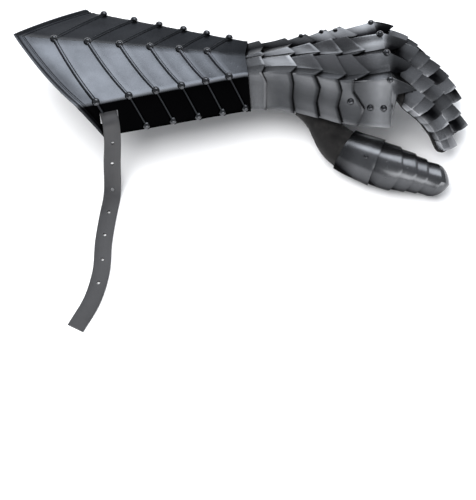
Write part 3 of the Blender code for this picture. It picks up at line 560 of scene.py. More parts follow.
def add_rivets(made, spots, radius, sink=0.0):
    """Join polished heads to a plate, seated where lines along their directions meet it."""
    work = bmesh.new()
    work.from_mesh(made.data)
    tree = BVHTree.FromBMesh(work)
    for point, normal in spots:
        ray = Vector(TURN @ unit(normal))
        start = Vector(to_world(point)[0])
        seat = tree.ray_cast(start + ray * 0.008, -ray)[0]
        if seat is None:
            continue
        points, faces = dome(np.array(seat - ray * sink), ray, radius)
        made_points = [work.verts.new(p) for p in points]
        for face in faces:
            new = work.faces.new([made_points[k] for k in face])
            new.material_index = 1
            new.smooth = True
    work.to_mesh(made.data)
    work.free()


def paint(made, tone):
    """Store a share of blackening and painted shade on each point, read by the steel material. Below zero it
    is a painted highlight.
    """
    points = np.empty(len(made.data.vertices) * 3)
    made.data.vertices.foreach_get("co", points)
    own = (points.reshape(-1, 3) - SHIFT) @ TURN
    values = np.clip(tone(own), -1, 1)
    layer = made.data.attributes.new("blackening_and_painted_light", "FLOAT", "POINT")
    layer.data.foreach_set("value", values.astype(np.float32))


def from_grid(grid, values):
    """Tone of a piece, read from the nearest points of its own grid."""
    grid = np.asarray(grid, float).reshape(-1, 3)
    values = np.asarray(values, float).reshape(-1)
    tree = KDTree(len(grid))
    for k, point in enumerate(grid):
        tree.insert(point, k)
    tree.balance()

    def tone(own):
        found = np.empty(len(own))
        for n, point in enumerate(own):
            near = tree.find_n(point, 3)
            weights = [1 / (distance + 1e-5) for _, _, distance in near]
            found[n] = sum(values[k] * w for (_, k, _), w in zip(near, weights)) / sum(weights)
        return found

    return tone


# Materials


def nodes_of(name):
    """New material with its node tree and its shader."""
    made = bpy.data.materials.new(name)
    made.use_nodes = True
    tree = made.node_tree
    return made, tree, tree.nodes["Principled BSDF"]


def feed(tree, node, **inputs):
    """Links outputs or sets values on a node's inputs, named with _ for each space."""
    for name, value in inputs.items():
        socket = node.inputs[name.replace("_", " ")]
        if hasattr(value, "is_output"):
            tree.links.new(value, socket)
        else:
            socket.default_value = value


def add(tree, kind, **inputs):
    made = tree.nodes.new("ShaderNode" + kind)
    feed(tree, made, **inputs)
    return made


def noise(tree, scale, detail=3.0, rough=0.5, stretch=None):
    """Noise fixed to the piece; stretch lays it along the gauntlet."""
    place = add(tree, "TexCoord").outputs["Object"]
    if stretch:
        turn = (REST_ROLL, REST_PITCH, 0)
        place = add(tree, "Mapping", Vector=place, Scale=stretch, Rotation=turn).outputs["Vector"]
    return add(tree, "TexNoise", Vector=place, Scale=scale, Detail=detail, Roughness=rough).outputs["Fac"]


def ramp(tree, source, stops):
    made = add(tree, "ValToRGB", Fac=source)
    while len(made.color_ramp.elements) < len(stops):
        made.color_ramp.elements.new(0.5)
    for element, (place, colour) in zip(made.color_ramp.elements, stops):
        element.position = place
        colour = colour if hasattr(colour, "__len__") else (colour, colour, colour)
        element.color = (*colour, 1)
    return made.outputs["Color"]


def mix(tree, kind, share, a, b):
    made = add(tree, "Mix")
    made.data_type = "RGBA"
    made.blend_type = kind
    for socket, value in ((made.inputs[0], share), (made.inputs[6], a), (made.inputs[7], b)):
        if hasattr(value, "is_output"):
            tree.links.new(value, socket)
        elif hasattr(value, "__len__"):
            socket.default_value = (*value, 1)
        else:
            socket.default_value = value
    return made.outputs[2]


def bump(tree, shader, heights):
    """Chain of bumps, each a height, its strength and its distance in metres."""
    before = {}
    for height, strength, distance in heights:
        made = add(tree, "Bump", Height=height, Strength=strength, Distance=distance, **before)
        before = {"Normal": made.outputs["Normal"]}
    feed(tree, shader, **before)


def steel_material(name, bright, dark, rough, brushed=False):
    """Oil-blackened steel: bluish where it is bare and near black where the finish is thick. The same share
    carries painted shade, and below zero painted highlights.
    """
    made, tree, shader = nodes_of(name)
    share = add(tree, "Attribute")
    share.attribute_name = "blackening_and_painted_light"
    cloud = ramp(tree, noise(tree, 30, 4, 0.55), [(0.3, 0.74), (0.72, 1.14)])
    base = mix(tree, "MIX", share.outputs["Fac"], bright, dark)
    flipped = add(tree, "Math")
    flipped.operation = "MULTIPLY"
    flipped.inputs[1].default_value = -1
    tree.links.new(share.outputs["Fac"], flipped.inputs[0])
    # Below zero the share lightens the steel as a painted highlight
    base = mix(tree, "MULTIPLY", 1.0, base, ramp(tree, flipped.outputs[0], [(0, 1), (1, PAINTED_HIGHLIGHT_GAIN)]))
    streak = noise(tree, 190, 3, 0.6, (0.25, 3.0, 3.0) if brushed else None)
    feed(tree, shader, Base_Color=mix(tree, "MULTIPLY", 0.8, base, cloud), Metallic=0.95,
         Specular_Tint=mix(tree, "MIX", share.outputs["Fac"], (1, 1, 1), (0.05, 0.05, 0.05)),
         Roughness=ramp(tree, streak, [(0.25, rough - 0.02), (0.75, rough + 0.03)]))
    bump(tree, shader, [(noise(tree, 20, 2, 0.5), 0.16, 0.0016), (streak, 0.004, 0.0002)])
    return made


def polished(name, colour, rough):
    """Bright metal of the rivets and the buckle."""
    made, tree, shader = nodes_of(name)
    wear = noise(tree, 420, 3, 0.6)
    tint = ramp(tree, noise(tree, 60, 2), [(0.3, [c * 0.82 for c in colour]), (0.7, colour)])
    feed(tree, shader, Base_Color=tint, Metallic=1.0,
         Roughness=ramp(tree, wear, [(0.3, rough), (0.75, rough + 0.12)]))
    return made


def suede_material(name):
    made, tree, shader = nodes_of(name)
    nap = noise(tree, 1500, 3, 0.7)
    mottle = noise(tree, 75, 5, 0.65)
    scuff = noise(tree, 24, 3, 0.55)
    colour = ramp(tree, mottle, [(0.30, (0.0040, 0.0037, 0.0038)), (0.52, (0.0085, 0.0080, 0.0080)),
                                 (0.78, (0.020, 0.0190, 0.0185))])
    colour = mix(tree, "MULTIPLY", 0.7, colour, ramp(tree, scuff, [(0.3, 0.65), (0.7, 1.25)]))
    colour = mix(tree, "MULTIPLY", 0.5, colour, ramp(tree, nap, [(0.2, 0.6), (0.8, 1.3)]))
    feed(tree, shader, Base_Color=colour, Roughness=0.95, Sheen_Weight=0.06, Sheen_Roughness=0.6,
         Specular_IOR_Level=0.15)
    bump(tree, shader, [(mottle, 0.35, 0.0010), (nap, 0.5, 0.0003)])
    return made


def strap_material(name, colour, rough):
    made, tree, shader = nodes_of(name)
    grain = add(tree, "TexVoronoi", Scale=1300, Vector=add(tree, "TexCoord").outputs["Object"])
    wear = noise(tree, 90, 4, 0.6)
    tint = ramp(tree, wear, [(0.3, [c * 0.75 for c in colour]), (0.75, [c * 1.15 for c in colour])])
    feed(tree, shader, Base_Color=tint,
         Roughness=ramp(tree, wear, [(0.3, rough - 0.06), (0.7, rough + 0.10)]))
    bump(tree, shader, [(wear, 0.12, 0.0008), (grain.outputs["Distance"], 0.16, 0.00012)])
    return made


# The four blackened steels are one finish set lighter or darker per part, as painted light and shade: cuff
# darkest, then thumb, hand and scales
CUFF_STEEL = steel_material("cuff steel", (0.091, 0.097, 0.108), (0.0005, 0.0005, 0.0006), 0.25)
HAND_STEEL = steel_material("hand steel", (0.188, 0.192, 0.201), (0.007, 0.007, 0.008), 0.24, True)
SCALE_METAL = steel_material("scale steel", (0.225, 0.230, 0.242), (0.006, 0.006, 0.007), 0.22, True)
THUMB_STEEL = steel_material("thumb steel", (0.132, 0.135, 0.142), (0.009, 0.009, 0.010), 0.25)
RIVET_STEEL = polished("rivet steel", (0.075, 0.077, 0.082), 0.10)
NICKEL = polished("nickel", (0.66, 0.65, 0.62), 0.16)
SUEDE_BLACK = suede_material("black suede")
STRAP_GREY = strap_material("strap leather", (0.032, 0.032, 0.034), 0.50)
EDGE_BLACK = strap_material("strap edge", (0.012, 0.012, 0.012), 0.5)


# Steel pieces


def rib_stations():
    """X of each rib at the ridge."""
    gaps = RIB_PITCH * RIB_PITCH_RATIO ** np.arange(RIB_COUNT - 1)
    return -CUFF_LENGTH + FIRST_RIB + np.concatenate([[0], np.cumsum(gaps)])


def make_cuff():
    """Cuff with a beaded mouth, a pressed line, ribs and rivets."""
    across = fill([-4, -2, 0, 2, 4], 10)
    mouth_sweep = CREASE_SETBACK / (MOUTH_WIDTH / 2)
    groups = [[], []]
    for share in np.linspace(0, 1, 7):
        x = -CUFF_LENGTH + RIB_WIDTH * 1.2 * share
        groups[0].append((x, mouth_sweep, RIB_HEIGHT * math.sqrt(1 - share**2)))
    for offset, height in ((-0.0011, 0.0), (-0.0004, -0.00045), (0.0004, -0.00045), (0.0011, 0.0)):
        groups[1].append((-CUFF_LENGTH + RIM_INSET + offset, mouth_sweep * 0.97, height))
    half = [(-0.62, 0.0), (-0.52, -0.18), (-0.46, 0.2), (-0.33, 0.72), (-0.15, 0.97)]
    profile = mirrored(half, (0.0, 1.0))
    for ridge in rib_stations():
        groups.append([(ridge + a * RIB_WIDTH, RIB_SWEEP, b * RIB_HEIGHT) for a, b in profile])
    groups.append([(0.0, 0.10, 0.0)])
    stations, heights = [], []
    for number, group in enumerate(groups):
        placed = [cuff_row_x(x, sweep, across) for x, sweep, _ in group]
        if number > 1:
            before = stations[-1]
            for share in (0.25, 0.5, 0.75):
                stations.append(before + (placed[0] - before) * share)
                heights.append(-0.0003 if number < len(groups) - 1 else 0.0)
        stations += placed
        heights += [height for _, _, height in group]
    points = np.array([cuff_point(x, across) for x in stations])
    lift = np.repeat(np.array(heights)[:, None], len(across), axis=1)
    cuff = piece("cuff_shell", *sheet_parts(points, STEEL, lift), [CUFF_STEEL, RIVET_STEEL], "cuff_plate",
                 "cuff_steel", CUFF_BEVEL, 18, [slot_cutter()])
    spots = []
    for ridge in rib_stations():
        for column, lean in ((-3.8, -1.0), (-2, -0.45), (0, 0.0), (2, 0.45), (3.8, 1.0)):
            x = cuff_row_x(ridge, RIB_SWEEP, column)
            if column == -3.8 and abs(x - STRAP_AT) < STRAP_WIDTH:
                continue
            normal = np.array([0, lean, 1 - abs(lean) * 0.9])
            spots.append((cuff_point(x, column) + normal * RIB_HEIGHT * 0.5, normal))
    add_rivets(cuff, spots, RIVET * 1.08, RIB_HEIGHT * 0.75)
    on_rib = from_grid(points, lift > RIB_HEIGHT / 2)

    def tone(own):
        """Painted shade: a darker far panel and near black walls, with painted highlights on the wall's
        ribs; also darker towards the mouth.
        """
        half = np.interp(own[:, 0], [-CUFF_LENGTH, 0], [MOUTH_WIDTH / 2, WRIST_WIDTH / 2])
        far = smooth((own[:, 1] + 0.001) / 0.002) * 0.60
        wall = smooth((-0.0008 - own[:, 2]) / 0.0016) * (1 - 0.16 * on_rib(own))
        mouth = -CUFF_LENGTH + CREASE_SETBACK * np.abs(own[:, 1]) / half
        rim = 0.45 * smooth((mouth + 0.016 - own[:, 0]) / 0.012)
        return np.maximum(np.maximum(far, wall), rim)

    paint(cuff, tone)


def slot_centre():
    """Middle of the strap's slot in the cuff's wall, with its outward, downward and sideways directions."""
    top, low = cuff_point(STRAP_AT, -2.6), cuff_point(STRAP_AT, -3.4)
    side = unit(cuff_point(STRAP_AT + 0.01, -3) - cuff_point(STRAP_AT - 0.01, -3))
    down = low - top
    down = unit(down - side * down.dot(side))
    return (top + low) / 2, np.cross(side, -down), down, side


def slot_cutter():
    centre, out, down, side = slot_centre()
    corners = [side * SLOT_LENGTH * a + down * SLOT_HEIGHT * b
               for a, b in ((-0.5, -0.5), (0.5, -0.5), (0.5, 0.5), (-0.5, 0.5))]
    rings = [[centre + out * SLOT_DEPTH * c + corner for corner in corners] for c in (-0.5, 0.5)]
    return rings, stack_faces(2, 4)


def cut(target, points, faces):
    """Cut one closed form out of a piece."""
    cutter = new_object("cutter", closed_mesh("cutter", to_world(points), faces))
    modifier = target.modifiers.new("cut", "BOOLEAN")
    modifier.operation = "DIFFERENCE"
    modifier.solver = "EXACT"
    modifier.object = cutter
    graph = bpy.context.evaluated_depsgraph_get()
    made = bpy.data.meshes.new_from_object(target.evaluated_get(graph))
    target.modifiers.clear()
    kept = list(target.data.materials)
    target.data = made
    made.materials.clear()
    for used in kept:
        made.materials.append(used)
    bpy.data.objects.remove(cutter, do_unlink=True)


def hand_columns():
    return fill([-8, -7.3, -6.6, *range(-6, 7), 6.6, 7.3, 8], 3)


def plate_tone(points, across, shares, far=0.50):
    """Painted shade where the plate before covers it, in the valleys and on the far half of the hand; also
    darker at the far edge on the sides.
    """
    reach = np.abs(across)
    valley = np.interp(reach, [0, 2, 4, 6, 6.6, 7, 8], [0.60, 0.05, 0.65, 0.0, 0.36, 0.40, 0.50])
    tone = valley + far * smooth(across / 4 + 0.5)
    shares = np.broadcast_to(np.asarray(shares, float), (len(points), len(across)))
    painted_overlap_shade = 0.55 * (1 - smooth(shares / 0.55)) - 0.10 * smooth(shares - 0.2)
    lip = 0.7 * smooth((shares - 0.90) / 0.10) * (reach >= 6)
    return from_grid(points, tone[None, :] * 0.75 + painted_overlap_shade + lip)


def make_lames():
    """Wrist and hand plates, each from under the one before to its own edge."""
    across = hand_columns()
    order = list(EDGES)
    up_out = (0, 0.8, 0.6)
    for previous, name in zip(order, order[1:]):
        step = PLATE_STEP + (FIRST_STEP if previous == "cuff_plate" else 0)
        start = edge_at(previous, across) - OVERLAP
        end = edge_at(name, across)
        shares = np.linspace(0, 1, 9)
        points = np.array([hand_point(start + (end - start) * s, across) for s in shares])
        lift = -step * (1 - shares)[:, None]
        lame = piece(name + "_plate", *sheet_parts(points, STEEL, lift), [HAND_STEEL, RIVET_STEEL], name,
                     "hand_steel", PLATE_BEVEL)
        if name.startswith("hand"):
            add_rivets(lame, [(hand_point(edge_at(name, 6) - LAME_RIVET_INSET, 6), up_out)], SMALL_RIVET)
        if name == "hand_lame_3":
            spots = [(hand_point(edge_at(name, 7.3 * side) - SIDE_RIVET_INSET, 7 * side), (0, side, 0.15))
                     for side in (-1, 1)]
            add_rivets(lame, spots, RIVET)
        paint(lame, plate_tone(points, across, shares[:, None]))


def make_knuckles():
    """Knuckle plate, folded over the knuckles and ending in a lobe over each finger."""
    across = hand_columns()
    crest = knuckle_x(across)
    start = edge_at("hand_lame_3", across) - OVERLAP
    end = crest + knuckle_far_edge(across)
    near = crest - 0.004
    third = (near - start) / 3
    stops = [start, start + third, near - third, near, crest, (crest + end) / 2, end]
    rows = []
    for a, b in zip(stops, stops[1:]):
        rows += [a, a + (b - a) / 2]
    rows.append(stops[-1])
    points = np.array([hand_point(row, across) for row in rows])
    lift = np.array([-PLATE_STEP * (1 - (row - start) / (end - start)) for row in rows])
    plate = piece("knuckle_shell", *sheet_parts(points, STEEL, lift), [HAND_STEEL, RIVET_STEEL],
                  "knuckle_plate", "hand_steel", PLATE_BEVEL)
    spots = []
    for finger in FINGERS.values():
        point = hand_point(HAND_LENGTH * finger["knuckle"] - KNUCKLE_RIVET_INSET, finger["column"])
        spots.append((point, (-0.1, 0.25 * np.sign(finger["column"]), 1)))
    for side in (-1, 1):
        for back in KNUCKLE_SIDE_RIVETS:
            spots.append((hand_point(knuckle_x(6 * side) - back, 7.25 * side), (0, side, 0.15)))
    add_rivets(plate, spots, RIVET)
    # Painted light: painted shade in the valleys, towards the plate's near edge, past the crest and on the
    # far side, and painted highlights (glint) before the knuckle rivets, stronger on the thumb's side
    before = crest - np.array(rows)
    reach = np.abs(across)
    glint = np.interp(reach, [0, 1, 2, 3, 4, 5, 6, 8], [0, 0.7, 1, 0.5, 0, 0.6, 1, 0.7])
    glint = np.exp(-((before - 0.009) / 0.009)**2) * glint
    shares = np.clip((0.048 - before) / 0.030, 0, 1)
    valley = np.interp(reach, [0, 2, 4, 6, 7, 8], [0.80, 0.25, 0.90, 0.20, 0.36, 0.45])
    tone = valley[None, :] + 0.4 * (1 - shares) + 0.35 * smooth(-before / 0.006)
    tone -= np.where(across < 0, 1.1, 0.6)[None, :] * glint
    tone += 0.30 * smooth(across / 4)[None, :]
    paint(plate, from_grid(points, tone))


def make_scales():
    """Overlapping pointed scales down each finger, each with its own tone."""
    around = fill([-3, -2, -1, 0, 1, 2, 3], 2)
    for name, finger in FINGERS.items():
        count = finger["scales"]
        pitch = (finger["length"] - SCALE_START - SCALE_POINT * 0.4) / count
        length = pitch * 1.45
        for number in range(count):
            start = SCALE_START + pitch * number + 0 * around
            tip = start + length - SCALE_POINT * np.abs(around) / 2 + SCALE_POINT * 0.4
            shares = np.linspace(0, 1, 7)
            points = np.array([finger_point(finger, start + (tip - start) * s, around) for s in shares])
            lift = np.array([(tip - start) * s * SCALE_STEP / length for s in shares])
            node = f"{name}_scale_{number + 1}"
            scale = piece(node + "_leaf", *sheet_parts(points, SCALE_STEEL, lift), [SCALE_METAL], node,
                          "scale_steel", SCALE_BEVEL)
            # Painted light: tone varies from scale to scale and facet to facet as painted reflections, the
            # first two scales kept lighter; painted shade where the scale before covers it, on the ring and
            # little fingers and further down each finger; lighter towards the tip
            turn = ((number * 7 + len(name) * 3) % 5) / 4
            shade = turn * 0.40 if number < 2 else turn * 0.95 - 0.25
            shade += (0.14 if name in ("ring", "pinky") else 0.0) + 0.075 * max(number - 2, 0)
            facets = 0.36 * np.sin(around * 1.7 + number * 2.1 + len(name))
            tone = shade + facets[None, :] + 0.55 * (1 - smooth(shares / 0.6))[:, None]
            paint(scale, from_grid(points, tone - 0.25 * smooth((shares - 0.86) / 0.14)[:, None]))


def make_thumb_steel():
    """Thumb's plates, the last one closed by a rounded cap."""
    angles = np.radians(fill([-92, -62, -30, 0, 30, 62, 92], 3))
    names = ["thumb_base_plate", "thumb_scale_1", "thumb_scale_2", "thumb_scale_3", "thumb_tip_plate"]
    starts = [0.31, 0.43, 0.56, 0.68, 0.79]
    ends = [0.475, 0.66, 0.79, 0.90, 1.03]
    points_out = [0.0, 0.06, 0.06, 0.06, 0.07]
    for name, start, end, point in zip(names, starts, ends, points_out):
        tip = end - point * np.abs(angles) / angles[-1]
        shares = np.linspace(0, 1, 9)
        rows = [thumb_point(start + (tip - start) * s, angles) for s in shares]
        if name == "thumb_tip_plate":
            centre, _, _, ahead = thumb_frame(1.0)
            cap = (0.35, 0.6, 0.78, 0.9, 0.965)
            rows = add_cap(rows, centre, ahead, THUMB_PLATE_CAP, cap)
            shares = np.append(shares, [1.0] * len(cap))
        shares = shares[:, None] + 0 * angles
        lift = SCALE_STEP * 1.1 * shares
        plate = piece(name + "_shell", *sheet_parts(rows, SCALE_STEEL, lift), [THUMB_STEEL, RIVET_STEEL],
                      name, "thumb_steel", SCALE_BEVEL)
        if name == "thumb_base_plate":
            out = thumb_frame(0.42)[1]
            add_rivets(plate, [(thumb_point(0.42, 0.0) + out * SCALE_STEP * 0.8, tuple(out))], SMALL_RIVET)
        # Painted shade: darker towards both sides of the thumb and where the plate before covers it
        under = np.interp(angles, [-1.6, -0.9, -0.3, 0.5, 1.0, 1.6], [0.75, 0.50, 0.08, 0.05, 0.30, 0.70])
        paint(plate, from_grid(rows, 0.55 * (1 - smooth(shares / 0.6)) + under))


# Suede glove


def folds(points, seed, size):
    """Soft creases: a height for each point from a few warped waves."""
    rng = np.random.default_rng(seed)
    height = np.zeros(len(points))
    for wave in (0.030, 0.019, 0.012, 0.008):
        for _ in range(3):
            direction = unit(rng.normal(size=3) + np.array([0.8, 0, 0]))
            bend = points @ unit(rng.normal(size=3)) * 2 * np.pi / (wave * 2.3)
            warp = 0.35 * np.sin(bend + rng.uniform(0, 6))
            phase = points @ direction * 2 * np.pi / wave + rng.uniform(0, 6) + warp * 3
            height += (1 - np.abs(np.sin(phase)))**2 * wave
    height -= height.mean()
    return height / np.abs(height).max() * size


def make_glove_body():
    """Suede hand and sleeve with a seam down each side, a hem and a hole for the thumb."""
    around = 120
    turns = np.pi / 2 - np.arange(around) * 2 * np.pi / around
    shares = np.concatenate([np.linspace(-1.0, -0.02, 46), np.linspace(0.02, 0.97, 44)])
    rows = np.array([glove_ring(share, turns) for share in shares])
    flat = rows.reshape(-1, 3)
    height = folds(flat, 4, FOLD).reshape(rows.shape[:2])
    edge = np.clip((np.minimum(shares + 1, 0.97 - shares)) / 0.08, 0, 1)
    height = height * edge[:, None] - FOLD * edge[:, None]
    for place in (0.0, np.pi):
        away = np.abs(np.angle(np.exp(1j * (turns - place)))) * 0.04
        height += FOLD * np.exp(-(away / 0.0010)**2) - 0.0004 * np.exp(-((away - 0.0024) / 0.0008)**2)
    hem = np.exp(-((shares + 0.93) / 0.012)**2)
    height -= 0.0005 * hem[:, None]
    body = piece("glove_shell", *sheet_parts(rows, SUEDE, height, closed=True), [SUEDE_BLACK], "glove_body",
                 "suede")
    sides = 12
    inset = SCALE_STEEL + CLEARANCE + SUEDE
    hole = [thumb_point(t, even_turns(sides), inset) for t in np.linspace(-0.02, 1.0, 8)]
    centre, _, _, ahead = thumb_frame(1.0)
    hole.append(centre + (hole[-1] - centre) * 0.7 + ahead * 0.005)
    tip = len(hole) * sides
    faces = grid_faces(len(hole), sides, closed=True).tolist() + fan(tip - sides, tip, sides)
    hole = np.vstack([*hole, centre + ahead * THUMB_CAP])
    cut(body, hole, [*faces, tuple(reversed(range(sides)))])


def tube_wall(name, rows, tip, node, seed, crease):
    """Hollow glove finger from its rings and tip, with folds and a seam down each side."""
    rows = np.asarray(rows, float)
    count, sides = rows.shape[:2]
    height = folds(rows.reshape(-1, 3), seed, crease).reshape(count, sides) - crease
    place = np.arange(sides) / sides
    for seam in (0.30, 0.70):
        away = np.abs((place - seam + 0.5) % 1 - 0.5) * 0.055
        height += 0.0006 * np.exp(-(away / 0.0009)**2)[None, :]
    fade = np.clip((count - 1 - np.arange(count)) / 6, 0, 1)
    height = np.minimum(height * fade[:, None], 0.0004)
    points = rows.reshape(-1, 3)
    quads = grid_faces(count, sides, closed=True)
    move = offset_vectors(points, quads)
    outer = points + move * height.reshape(-1, 1)
    inner = outer - move * SUEDE
    inner_tip = tip + unit(rows[-1].mean(axis=0) - tip) * SUEDE
    total = len(points)
    faces = quads.tolist() + fan(total - sides, total, sides)
    faces += [[k + total + 1 for k in reversed(face)] for face in faces]
    faces += [((k + 1) % sides, k, k + total + 1, (k + 1) % sides + total + 1) for k in range(sides)]
    return piece(name, np.vstack([outer, tip, inner, inner_tip]), faces, [SUEDE_BLACK], node, "suede")


def make_stalls():
    """Suede fingers, their roots gathered into the hand."""
    sides = 44
    around = np.arange(sides) * 10 / sides
    around = np.where(around > 5, around - 10, around)
    inset = SCALE_STEEL + CLEARANCE
    for seed, (name, finger) in enumerate(FINGERS.items()):
        stations = np.concatenate([np.linspace(-ROOT_LENGTH, SCALE_START, 12),
                                   np.linspace(SCALE_START, finger["length"], 46)[1:]])
        knuckle = finger_frame(finger, 0.0)[0]
        rows = []
        for t in stations:
            share = 1 - smooth((t - 0.002) / (SCALE_START - 0.002))
            ring = finger_point(finger, np.full(sides, t), around, inset + ROOT_SQUEEZE * share, 0.35)
            rows.append(ring - np.array([0, knuckle[1] * ROOT_GATHER, knuckle[2] - ROOT_HEIGHT]) * share)
        middle = rows[-1].mean(axis=0)
        length = finger["length"]
        ahead = unit(finger_point(finger, length, 0) - finger_point(finger, length - 0.001, 0))
        rows = add_cap(rows, middle, ahead, FINGER_CAP)
        tip = middle + ahead * FINGER_CAP
        tube_wall(f"glove_{name}_stall", rows, tip, f"glove_{name}", 11 + seed, FINGER_FOLD)


def make_thumb_stall():
    """Suede thumb, cut back where it would enter the hand."""
    rows = [thumb_point(t, even_turns(48), SCALE_STEEL + CLEARANCE) for t in np.linspace(0.0, 1.0, 60)]
    centre, _, _, ahead = thumb_frame(1.0)
    rows = add_cap(rows, centre, ahead, THUMB_CAP)
    stall = tube_wall("glove_thumb_stall", rows, centre + ahead * THUMB_CAP, "glove_thumb", 21, THUMB_FOLD)
    shares = [-0.05, 0.12, 0.3, 0.46, 0.62, 0.78, 0.9, 0.99]
    cut(stall, [glove_ring(share, COARSE_TURNS, GAP) for share in shares], stack_faces(len(shares), 24))


# Straps and buckle


def resample(knots, spacing):
    """Evenly spaced points on a smooth line through the knots, and their distances along it."""
    lengths = np.concatenate([[0], np.cumsum(np.linalg.norm(np.diff(knots, axis=0), axis=1))])
    at = np.linspace(0, lengths[-1], int(lengths[-1] / spacing) + 1)
    return np.stack([blend(at, lengths, knots[:, k]) for k in range(3)], axis=-1), at


def ribbon(name, line, normals, sides, width, node, holes=()):
    """Flat strap with rounded, burnished edges and a pressed line along each side."""
    front = [(-0.5, -0.15), (-0.5, 0.15), (-0.485, 0.38), (-0.45, 0.5), (-0.39, 0.5), (-0.37, 0.43),
             (-0.35, 0.5), (-0.175, 0.5)]
    back = [(0.485, -0.38), (0.45, -0.5)]
    profile = mirrored(front, (0.0, 0.5)) + mirrored(back, (0.0, -0.5))
    rows = [[point + side * width * a + normal * STRAP * b for a, b in profile]
            for point, normal, side in zip(line, normals, sides)]
    strap = piece(name, rows, stack_faces(len(rows), len(profile)), [STRAP_GREY, EDGE_BLACK], node, "strap")
    for centre, normal in holes:
        rings = [circle(centre + normal * height, *axes_of(normal), HOLE / 2, 20)
                 for height in (-2 * STRAP, 2 * STRAP)]
        cut(strap, rings, stack_faces(2, 20))
    world_line, world_normals = to_world(line), np.asarray(normals) @ TURN.T
    for face in strap.data.polygons:
        near = int(np.argmin(np.linalg.norm(world_line - np.array(face.center), axis=1)))
        if abs(face.normal.dot(Vector(world_normals[near]))) < 0.4:
            face.material_index = 1
    strap.data.shade_smooth()
    strap.data.set_sharp_from_angle(angle=math.radians(40))


def strap_lay(line, side):
    """Normals and sides of a strap that runs along a line with its width to one side."""
    ahead = unit(np.gradient(line, axis=0))
    return np.cross(ahead, side), np.broadcast_to(side, line.shape)


def make_cuff_strap():
    """Long strap from inside the cuff, out through its slot, down to the floor and along it."""
    centre, out, down, side_way = slot_centre()
    up = TURN.T @ np.array([0.0, 0.0, 1.0])
    half = STRAP / 2
    inner = centre - out * (STEEL + GAP + half)
    outer = centre + out * (RIB_HEIGHT + GAP + half)
    low = outer + out * 0.0006 + down * STRAP_OUTSIDE
    flat = np.array([0.0, -1.0, 0.0])
    flat = unit(flat - up * flat.dot(up))
    height = low.dot(up) - FLOOR - half
    start = low + flat * height * 0.62 - up * height
    knots = [inner - down * STRAP_INSIDE, inner - down * STRAP_BEND, outer + down * STRAP_BEND, low,
             low + (start - low) * 0.5 - flat * height * 0.10, start]
    sway = ((0.014, -0.0020), (0.042, -0.0050), (0.072, -0.0060), (0.098, -0.0120), (0.125, -0.0250))
    for distance, shift in sway:
        knots.append(start + flat * distance + AHEAD * shift)
    line, at = resample(np.array(knots), LINE_SPACING)
    ahead = unit(np.gradient(line, axis=0))
    on_floor = smooth((at - 0.03) / 0.05)[:, None]
    level = AHEAD - up * up[0]
    side = side_way * (1 - on_floor) + level * on_floor
    side = unit(side - ahead * np.sum(side * ahead, axis=1, keepdims=True))
    normals = np.cross(ahead, side)
    holes = []
    for number in range(HOLE_COUNT):
        k = int(np.argmin(np.abs(at - FIRST_HOLE - HOLE_PITCH * number)))
        holes.append((line[k], normals[k]))
    ribbon("cuff_strap_leather", line, -normals, -side, STRAP_WIDTH, "cuff_strap", holes)
    head = line[0] - out * (half + GAP * 2 + SMALL_RIVET * 0.22) + down * 0.003
    piece("cuff_strap_stud", *dome(head, -out, SMALL_RIVET), [RIVET_STEEL], "cuff_strap_rivet", "rivet")


def make_palm_strap():
    """Strap under the palm from the plates' one side to the other."""
    half = STRAP / 2
    wall = hand_point(PALM_AT, [8.0, 7.4])
    inset = PLATE_STEP + STEEL + half + GAP + PALM_INSET
    low = glove_ring(PALM_AT / HAND_LENGTH, COARSE_TURNS)[:, 2].min() - GAP - half - 0.0012
    out = wall[:, 1] - inset
    ends = [(out[1], wall[1, 2] + 0.004), (out[0] - 0.0012, wall[0, 2] + 0.004),
            (out[0] - 0.006, low - 0.0005), (0.020, low - 0.0002)]
    knots = [(PALM_AT, -y, z) for y, z in ends] + [(PALM_AT, y, z) for y, z in reversed(ends)]
    line, _ = resample(np.array(knots), LINE_SPACING)
    ribbon("palm_strap_leather", line, *strap_lay(line, AHEAD), PALM_WIDTH, "palm_strap")


